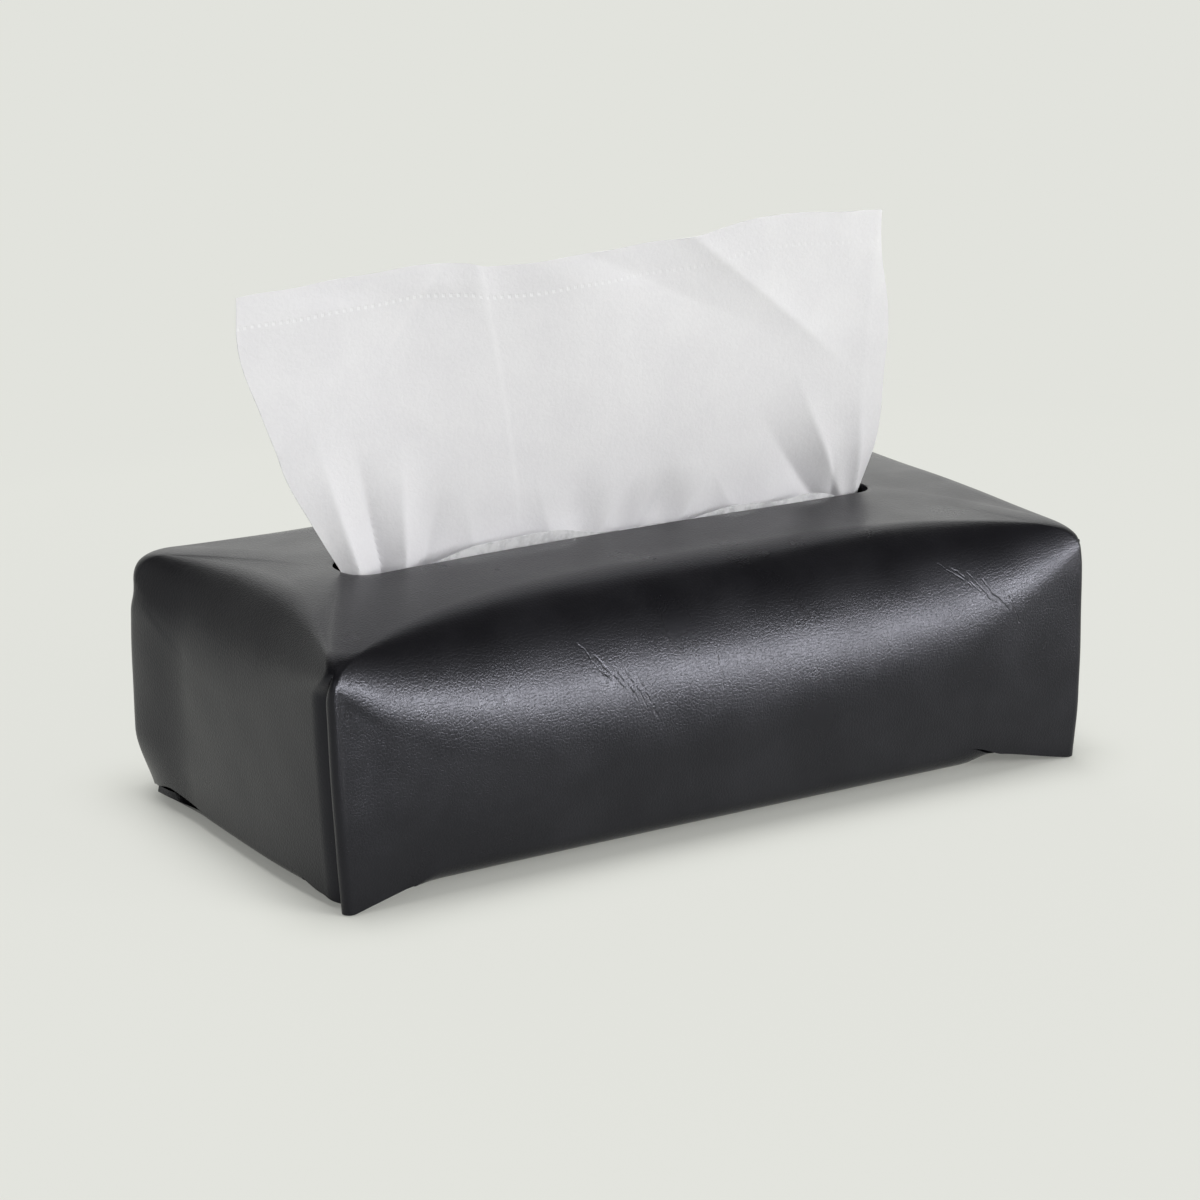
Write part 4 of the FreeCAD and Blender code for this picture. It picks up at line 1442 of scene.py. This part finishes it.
class FibreGroup:
    """Node group of fibres and flecks, for suede, cut edges, paper and board."""

    cloud_share: float = 0.08

    def __init__(self) -> None:
        """Build the group once: a fine noise for the fibres and a coarse one for the cloudiness."""
        nodes, entry, leave = group_tree(
            "fibres",
            {"Vector": "NodeSocketVector", "Scale": "NodeSocketFloat"},
            {"Fibre": "NodeSocketFloat", "Cloud": "NodeSocketFloat"},
        )
        fine = nodes.add(
            "ShaderNodeTexNoise",
            {"Vector": entry["Vector"], "Scale": entry["Scale"], "Detail": 5.0, "Distortion": 0.6},
        )
        coarse = nodes.math("MULTIPLY", entry["Scale"], self.cloud_share)
        cloud = nodes.add("ShaderNodeTexNoise", {"Vector": entry["Vector"], "Scale": coarse, "Detail": 3.0})
        nodes.link(nodes.span(fine.outputs["Fac"], 0.3, 0.7), leave.inputs["Fibre"])
        nodes.link(nodes.span(cloud.outputs["Fac"], 0.3, 0.7), leave.inputs["Cloud"])
        self.tree = nodes.tree

    def place(self, nodes: Nodes, place: object, scale: float) -> tuple:
        """Add the group to a material.

        Args:
            nodes: The material's nodes.
            place: Coordinates that it reads.
            scale: Scale of the fibres.

        Returns:
            Its fibre and cloud values.
        """
        made = nodes.add("ShaderNodeGroup", node_tree=self.tree)
        nodes.link(place, made.inputs["Vector"])
        made.inputs["Scale"].default_value = scale
        return made.outputs["Fibre"], made.outputs["Cloud"]


@dataclass(frozen=True)
class LeatherFinish:
    """Smooth black leather with a fine grain, a satin sheen and a few creases, which are bumped and darkened
    with painted shade.
    """

    colour: tuple = (0.0050, 0.0048, 0.0060, 1.0)
    worn: tuple = (0.0080, 0.0078, 0.0094, 1.0)
    # Painted shade: the near-black colour that the creases are darkened towards.
    painted_crease_shade: tuple = (0.002, 0.002, 0.002, 1.0)
    tint: tuple = (0.87, 0.88, 1.0, 1.0)
    roughness: float = 0.30
    gloss: float = 0.33
    grain: float = 960.0
    fine: float = 2600.0
    mottle: float = 45.0
    relief: tuple = (0.26, 0.0001)
    crease_depth: float = 6.0
    crease_shade: float = 0.45
    crease_width: float = 0.32 * MM
    hairline: tuple = ((-2 * MM, -64 * MM, 52 * MM), 92, 14 * MM, 0.3 * MM)
    fans: tuple = (
        ((-44, -28), -64, (60, 48), (-52, -14), 17, (0.0, 0.3, 0.55, 0.8, 1.0)),
        ((84, 103), -60, (66, 55), (-40, -22), 15, (0.0, 0.2, 0.45, 0.7, 1.0)),
    )

    def creases(self) -> list[tuple]:
        """The hairline and two fans of creases.

        A fan's x and z in millimetres and its turn go evenly from its first crease to its last.

        Returns:
            Middle, turn about Y in degrees, length and width of each crease.
        """
        found = [self.hairline]
        for across, front, high, (turn, more), length, shares in self.fans:
            for share in shares:
                middle = (mix(*across, share) * MM, front * MM, mix(*high, share) * MM)
                found.append((middle, turn + more * share, length * MM, self.crease_width))
        return found

    def make(self, crease_group: CreaseGroup) -> bpy.types.Material:
        """Build the material.

        Args:
            crease_group: The creases' node group.

        Returns:
            The material.
        """
        material, nodes, shader, place = new_material("black_leather")
        mottle = nodes.noise(place, self.mottle, 5.0)
        cells = nodes.add("ShaderNodeTexVoronoi", {"Vector": place, "Scale": self.grain},
                          feature="DISTANCE_TO_EDGE").outputs["Distance"]
        fine = nodes.noise(place, self.fine)
        height = nodes.math("ADD", nodes.span(cells, 0.0, 0.25), nodes.math("MULTIPLY", fine, 0.6))
        marks = None
        for middle, turn, length, width in self.creases():
            mask = crease_group.place(nodes, place, middle, (0, math.radians(turn), 0), length, width)
            marks = mask if marks is None else nodes.math("MAXIMUM", marks, mask)
        height = nodes.math("SUBTRACT", height, nodes.math("MULTIPLY", marks, self.crease_depth))
        nodes.relief(shader, *self.relief, height)
        colour = nodes.colours(nodes.span(mottle, 0.35, 0.7), self.colour, self.worn)
        # Painted shade: the creases' colour is mixed towards a near-black, on top of their bump.
        colour = nodes.colours(nodes.math("MULTIPLY", marks, self.crease_shade), colour, self.painted_crease_shade)
        nodes.link(colour, shader.inputs["Base Color"])
        rough = nodes.span(mottle, 0.3, 0.75, self.roughness - 0.03, self.roughness + 0.04)
        nodes.link(rough, shader.inputs["Roughness"])
        shader.inputs["Specular IOR Level"].default_value = self.gloss
        shader.inputs["Specular Tint"].default_value = self.tint
        return material


@dataclass(frozen=True)
class FibreFinish:
    """A fibrous surface: two colours mixed by its fibres, with a soft relief."""

    name: str
    dark: tuple
    light: tuple
    scale: float
    roughness: float
    relief: float
    depth: float

    def make(self, fibre_group: FibreGroup) -> bpy.types.Material:
        """Build the material.

        Args:
            fibre_group: The fibres' node group.

        Returns:
            The material.
        """
        material, nodes, shader, place = new_material(self.name)
        fibre, cloud = fibre_group.place(nodes, place, self.scale)
        share = nodes.math("ADD", nodes.math("MULTIPLY", fibre, 0.65), nodes.math("MULTIPLY", cloud, 0.35))
        nodes.link(nodes.colours(share, self.dark, self.light), shader.inputs["Base Color"])
        nodes.relief(shader, self.relief, self.depth, fibre)
        shader.inputs["Roughness"].default_value = self.roughness
        return material


SUEDE = FibreFinish(
    "leather_flesh_side", (0.010, 0.018, 0.021, 1), (0.034, 0.052, 0.057, 1), 1500, 0.95, 0.6, 3e-4
)
CUT_EDGE = FibreFinish(
    "leather_cut_edge", (0.018, 0.015, 0.014, 1), (0.052, 0.041, 0.036, 1), 900, 0.7, 0.4, 2e-4
)
BOARD = FibreFinish("grey_board", (0.30, 0.28, 0.25, 1), (0.42, 0.40, 0.36, 1), 700, 0.85, 0.25, 1e-4)


@dataclass(frozen=True)
class PaperFinish:
    """Soft tissue paper, with the dotted crimp line below its top edge."""

    name: str
    colour: tuple = (0.775, 0.768, 0.792, 1.0)
    thin: tuple = (0.735, 0.727, 0.755, 1.0)
    dot: tuple = (0.87, 0.87, 0.89, 1.0)
    scale: float = 900.0
    roughness: float = 0.92
    gloss: float = 0.2
    relief: tuple = (0.25, 1e-4)
    dot_edge: tuple = (0.25 * MM, 0.7 * MM)
    dot_depth: float = 5.0
    dot_shade: float = 0.45
    crimp: float = 0.0
    pitch: float = 2.1 * MM
    fade: tuple = (95 * MM, 130 * MM, 1.0, 0.3)

    def make(self, fibre_group: FibreGroup) -> bpy.types.Material:
        """Build the material; a crimp of 0 leaves the line out.

        Args:
            fibre_group: The fibres' node group.

        Returns:
            The material.
        """
        material, nodes, shader, place = new_material(self.name)
        fibre, cloud = fibre_group.place(nodes, place, self.scale)
        share = nodes.math("ADD", nodes.math("MULTIPLY", fibre, 0.4), nodes.math("MULTIPLY", cloud, 0.6))
        colour = nodes.colours(share, self.thin, self.colour)
        height = nodes.math("ADD", fibre, nodes.math("MULTIPLY", cloud, 2.0))
        if self.crimp:
            uv = nodes.add("ShaderNodeUVMap", uv_map="Flat").outputs[0]
            flat = nodes.add("ShaderNodeSeparateXYZ", {0: uv})
            aside = nodes.math("ABSOLUTE", nodes.math("SUBTRACT", flat.outputs["Y"], self.crimp))
            near = nodes.span(aside, *self.dot_edge, 1.0, 0.0)
            beat = nodes.math("SINE", nodes.math("MULTIPLY", flat.outputs["X"], 2 * math.pi / self.pitch))
            dots = nodes.math("MULTIPLY", near, nodes.span(beat, 0.0, 0.5))
            dots = nodes.math("MULTIPLY", dots, nodes.span(flat.outputs["X"], *self.fade))
            height = nodes.math("SUBTRACT", height, nodes.math("MULTIPLY", dots, self.dot_depth))
            colour = nodes.colours(nodes.math("MULTIPLY", dots, self.dot_shade), colour, self.dot)
        nodes.link(colour, shader.inputs["Base Color"])
        nodes.relief(shader, *self.relief, height)
        shader.inputs["Roughness"].default_value = self.roughness
        shader.inputs["Specular IOR Level"].default_value = self.gloss
        return material


@dataclass(frozen=True)
class FilmFinish:
    """Thin clear film, hazy where it is crinkled."""

    colour: tuple = (0.93, 0.93, 0.95, 1.0)
    roughness: float = 0.16
    crinkle: float = 160.0
    alphas: tuple = (0.35, 0.9)
    relief: tuple = (0.4, 5e-4)

    def make(self) -> bpy.types.Material:
        """Build the material.

        Returns:
            The material.
        """
        material, nodes, shader, place = new_material("clear_film")
        crinkle = nodes.noise(place, self.crinkle, 4.0)
        shader.inputs["Base Color"].default_value = self.colour
        shader.inputs["Roughness"].default_value = self.roughness
        nodes.link(nodes.span(crinkle, 0.35, 0.65, *self.alphas), shader.inputs["Alpha"])
        nodes.relief(shader, *self.relief, crinkle)
        return material


@dataclass(frozen=True)
class SnapFinish:
    """Nickel-plated press stud with a warm cast, brushed by use."""

    colour: tuple = (0.62, 0.56, 0.47, 1.0)
    dull: tuple = (0.40, 0.36, 0.30, 1.0)
    cloud: float = 260.0
    scratch: float = 2400.0
    roughnesses: tuple = (0.2, 0.42)
    relief: tuple = (0.1, 5e-5)

    def make(self) -> bpy.types.Material:
        """Build the material.

        Returns:
            The material.
        """
        material, nodes, shader, place = new_material("snap_metal")
        cloud = nodes.noise(place, self.cloud, 4.0)
        scratch = nodes.noise(place, self.scratch)
        colour = nodes.colours(nodes.span(cloud, 0.35, 0.7), self.colour, self.dull)
        nodes.link(colour, shader.inputs["Base Color"])
        nodes.link(nodes.span(cloud, 0.3, 0.75, *self.roughnesses), shader.inputs["Roughness"])
        nodes.relief(shader, *self.relief, scratch)
        shader.inputs["Metallic"].default_value = 1.0
        return material


# Studio


@dataclass(frozen=True)
class SoftBox:
    """One soft box.

    Attributes:
        name: Name of the lamp.
        place: Where it hangs.
        aim: Point that it faces.
        size: Width and height.
        power: Watts.
        lit: What it lights.
    """

    name: str
    place: tuple
    aim: tuple
    size: tuple
    power: float
    lit: Lit = Lit.ALL

    def hang(self) -> None:
        """Add the lamp to the scene."""
        data = bpy.data.lights.new(self.name, "AREA")
        data.shape = "RECTANGLE"
        data.size, data.size_y = self.size
        data.energy = self.power
        lamp = bpy.data.objects.new(self.name, data)
        lamp.visible_diffuse = self.lit is not Lit.GLOSS
        lamp.visible_glossy = self.lit is not Lit.MATT
        lamp.visible_camera = False
        lamp.location = self.place
        lamp.rotation_euler = (Vector(self.aim) - Vector(self.place)).to_track_quat("-Z", "Y").to_euler()
        bpy.context.scene.collection.objects.link(lamp)


SOFT_BOXES = (
    SoftBox("key_box", (0.82, -1.32, 0.52), (0, 0, 0.06), (0.9, 0.42), 14.0, Lit.MATT),
    SoftBox("fill_box", (-1.25, -1.35, 1.15), (0, 0, 0.1), (1.0, 1.0), 3.4),
    SoftBox("top_box", (-0.15, 0.1, 1.6), (0, 0, 0.05), (0.9, 0.9), 14.4, Lit.MATT),
    SoftBox("front_strip", (0.17, -0.36, 0.084), (0.17, 0, 0.08), (0.75, 0.036), 3.3, Lit.GLOSS),
    SoftBox("back_strip", (1.0, 1.63, 0.85), (0, 0, 0.06), (1.8, 1.3), 4.2, Lit.GLOSS),
    SoftBox("back_box", (0.3, 1.6, 0.9), (0, 0, 0.1), (1.0, 1.0), 8.0, Lit.MATT),
)


@dataclass
class Studio:
    """Camera, floor, backdrop and lights.

    The surround's levels run over the height of a way out, or over its X: from, to, and the level at each.
    """

    azimuth: float = -31.71
    elevation: float = 16.82
    distance: float = 1.112
    target: tuple = (-0.0105, -0.0113, 0.060)
    lens: float = 111.0
    sensor: float = 36.0
    clip: tuple = (0.05, 60)
    floor_half: float = 6.0
    pale: tuple = (0.760, 0.768, 0.723, 1.0)
    floor_colour: tuple = (0.83, 0.838, 0.789, 1.0)
    surround: tuple = (0.765, 0.772, 0.735, 1.0)
    shadow_shares: tuple = (0.78, 0.12)
    shadow_reach: tuple = (0.0, 0.035)
    backdrop_reach: tuple = (0.12, 0.4)
    object_half: tuple = (0.127, 0.063, 1.0)
    horizon: tuple = (0.28, 0.74, 1.0, 0.11)
    right_side: tuple = (-0.5, 0.4, 0.55, 1.0)
    overhead: tuple = (0.90, 0.97, 0.0, 0.2)

    def camera(self) -> None:
        """Set the camera at the photograph's angle."""
        turn, rise = math.radians(self.azimuth), math.radians(self.elevation)
        back = Vector((math.sin(turn) * math.cos(rise), -math.cos(turn) * math.cos(rise), math.sin(rise)))
        data = bpy.data.cameras.new("camera")
        data.lens = self.lens
        data.sensor_width = self.sensor
        data.clip_start, data.clip_end = self.clip
        camera = bpy.data.objects.new("camera", data)
        camera.location = Vector(self.target) + back * self.distance
        camera.rotation_euler = (-back).to_track_quat("-Z", "Y").to_euler()
        bpy.context.scene.collection.objects.link(camera)
        bpy.context.scene.camera = camera

    def seen_directly(self, nodes: Nodes) -> bpy.types.NodeSocket:
        """Add a Light Path test.

        Args:
            nodes: The material's nodes.

        Returns:
            1 for rays from the camera, or by way of gloss or glass.
        """
        path = nodes.add("ShaderNodeLightPath")
        seen = nodes.math("MAXIMUM", path.outputs["Is Camera Ray"], path.outputs["Is Glossy Ray"])
        return nodes.math("MAXIMUM", seen, path.outputs["Is Transmission Ray"])

    def floor(self) -> None:
        """Lay a plain pale floor that keeps a soft shadow near the object and fades into the backdrop."""
        half = self.floor_half
        points = np.array([(-half, -half, 0), (half, -half, 0), (half, half, 0), (-half, half, 0)])
        floor = mesh_object("floor", points, np.array([[0, 1, 2, 3]]))
        material, nodes, shader, place = new_material("pale_floor")
        shader.inputs["Base Color"].default_value = self.floor_colour
        shader.inputs["Roughness"].default_value = 1.0
        shader.inputs["Specular IOR Level"].default_value = 0.0
        size = nodes.vectors("ABSOLUTE", place).outputs["Vector"]
        past = nodes.vectors("SUBTRACT", size, self.object_half).outputs["Vector"]
        past = nodes.vectors("MAXIMUM", past).outputs["Vector"]
        far = nodes.vectors("LENGTH", past).outputs["Value"]
        near, wide = self.shadow_shares
        fade = nodes.math("MAXIMUM", nodes.span(far, *self.shadow_reach, 1 - near, 1 - wide),
                          nodes.span(far, *self.backdrop_reach))
        glow = nodes.add("ShaderNodeEmission", {"Color": self.pale})
        share = nodes.math("MULTIPLY", fade, self.seen_directly(nodes))
        blend = nodes.add("ShaderNodeMixShader", {0: share, 1: shader.outputs[0], 2: glow.outputs[0]})
        nodes.link(blend.outputs[0], material.node_tree.nodes["Material Output"].inputs["Surface"])
        dress(floor, material)

    def world(self) -> None:
        """Surround: pale near the horizon, dark higher up, lighter overhead."""
        world = bpy.data.worlds.new("studio")
        bpy.context.scene.world = world
        world.use_nodes = True
        nodes = Nodes(world.node_tree)
        background = world.node_tree.nodes["Background"]
        way = nodes.add("ShaderNodeSeparateXYZ", {0: nodes.add("ShaderNodeTexCoord").outputs["Generated"]})
        high = way.outputs["Z"]
        level = nodes.span(high, *self.horizon)
        level = nodes.math("MULTIPLY", level, nodes.span(way.outputs["X"], *self.right_side))
        level = nodes.math("ADD", level, nodes.span(high, *self.overhead))
        background.inputs["Color"].default_value = self.surround
        nodes.link(level, background.inputs["Strength"])

    def build(self) -> None:
        """Set the whole studio."""
        self.camera()
        self.floor()
        self.world()
        for box in SOFT_BOXES:
            box.hang()
        bpy.context.scene.view_settings.view_transform = "Standard"


def main() -> None:
    """Build every piece in order."""
    logging.basicConfig(level=logging.INFO, format="%(name)s: %(message)s")
    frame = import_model()
    fibres = FibreGroup()
    leather = LeatherSet(LeatherFinish().make(CreaseGroup()), SUEDE.make(fibres), CUT_EDGE.make(fibres))
    paper = PaperFinish("tissue_paper").make(fibres)
    crimped = PaperFinish("crimped_tissue_paper", crimp=CRIMP_PLACE).make(fibres)
    cover = LeatherCover(crown=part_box("leather_cover")[1].z + CROWN_LIFT)
    grid, owners, thick = cover.grid()
    pieces = [cover.build(grid, thick, leather)]
    pieces += [flap.build(grid, owners, leather) for flap in FLAPS]
    pieces += [RaisedTissue().build(crimped), NextTissue().build(paper), TissueStack().build(paper)]
    pieces.append(FilmWindow().build(FilmFinish().make()))
    snap, board = SnapFinish().make(), BOARD.make(fibres)
    for name, node in frame["nodes"].items():
        if name.startswith("snap_"):
            dress(node, snap)
    dress(frame["nodes"]["tissue_carton"], board)
    for piece in pieces:
        log.info("%s: %d faces", piece.name, len(piece.data.polygons))
    Studio().build()


if __name__ == "__main__":
    main()
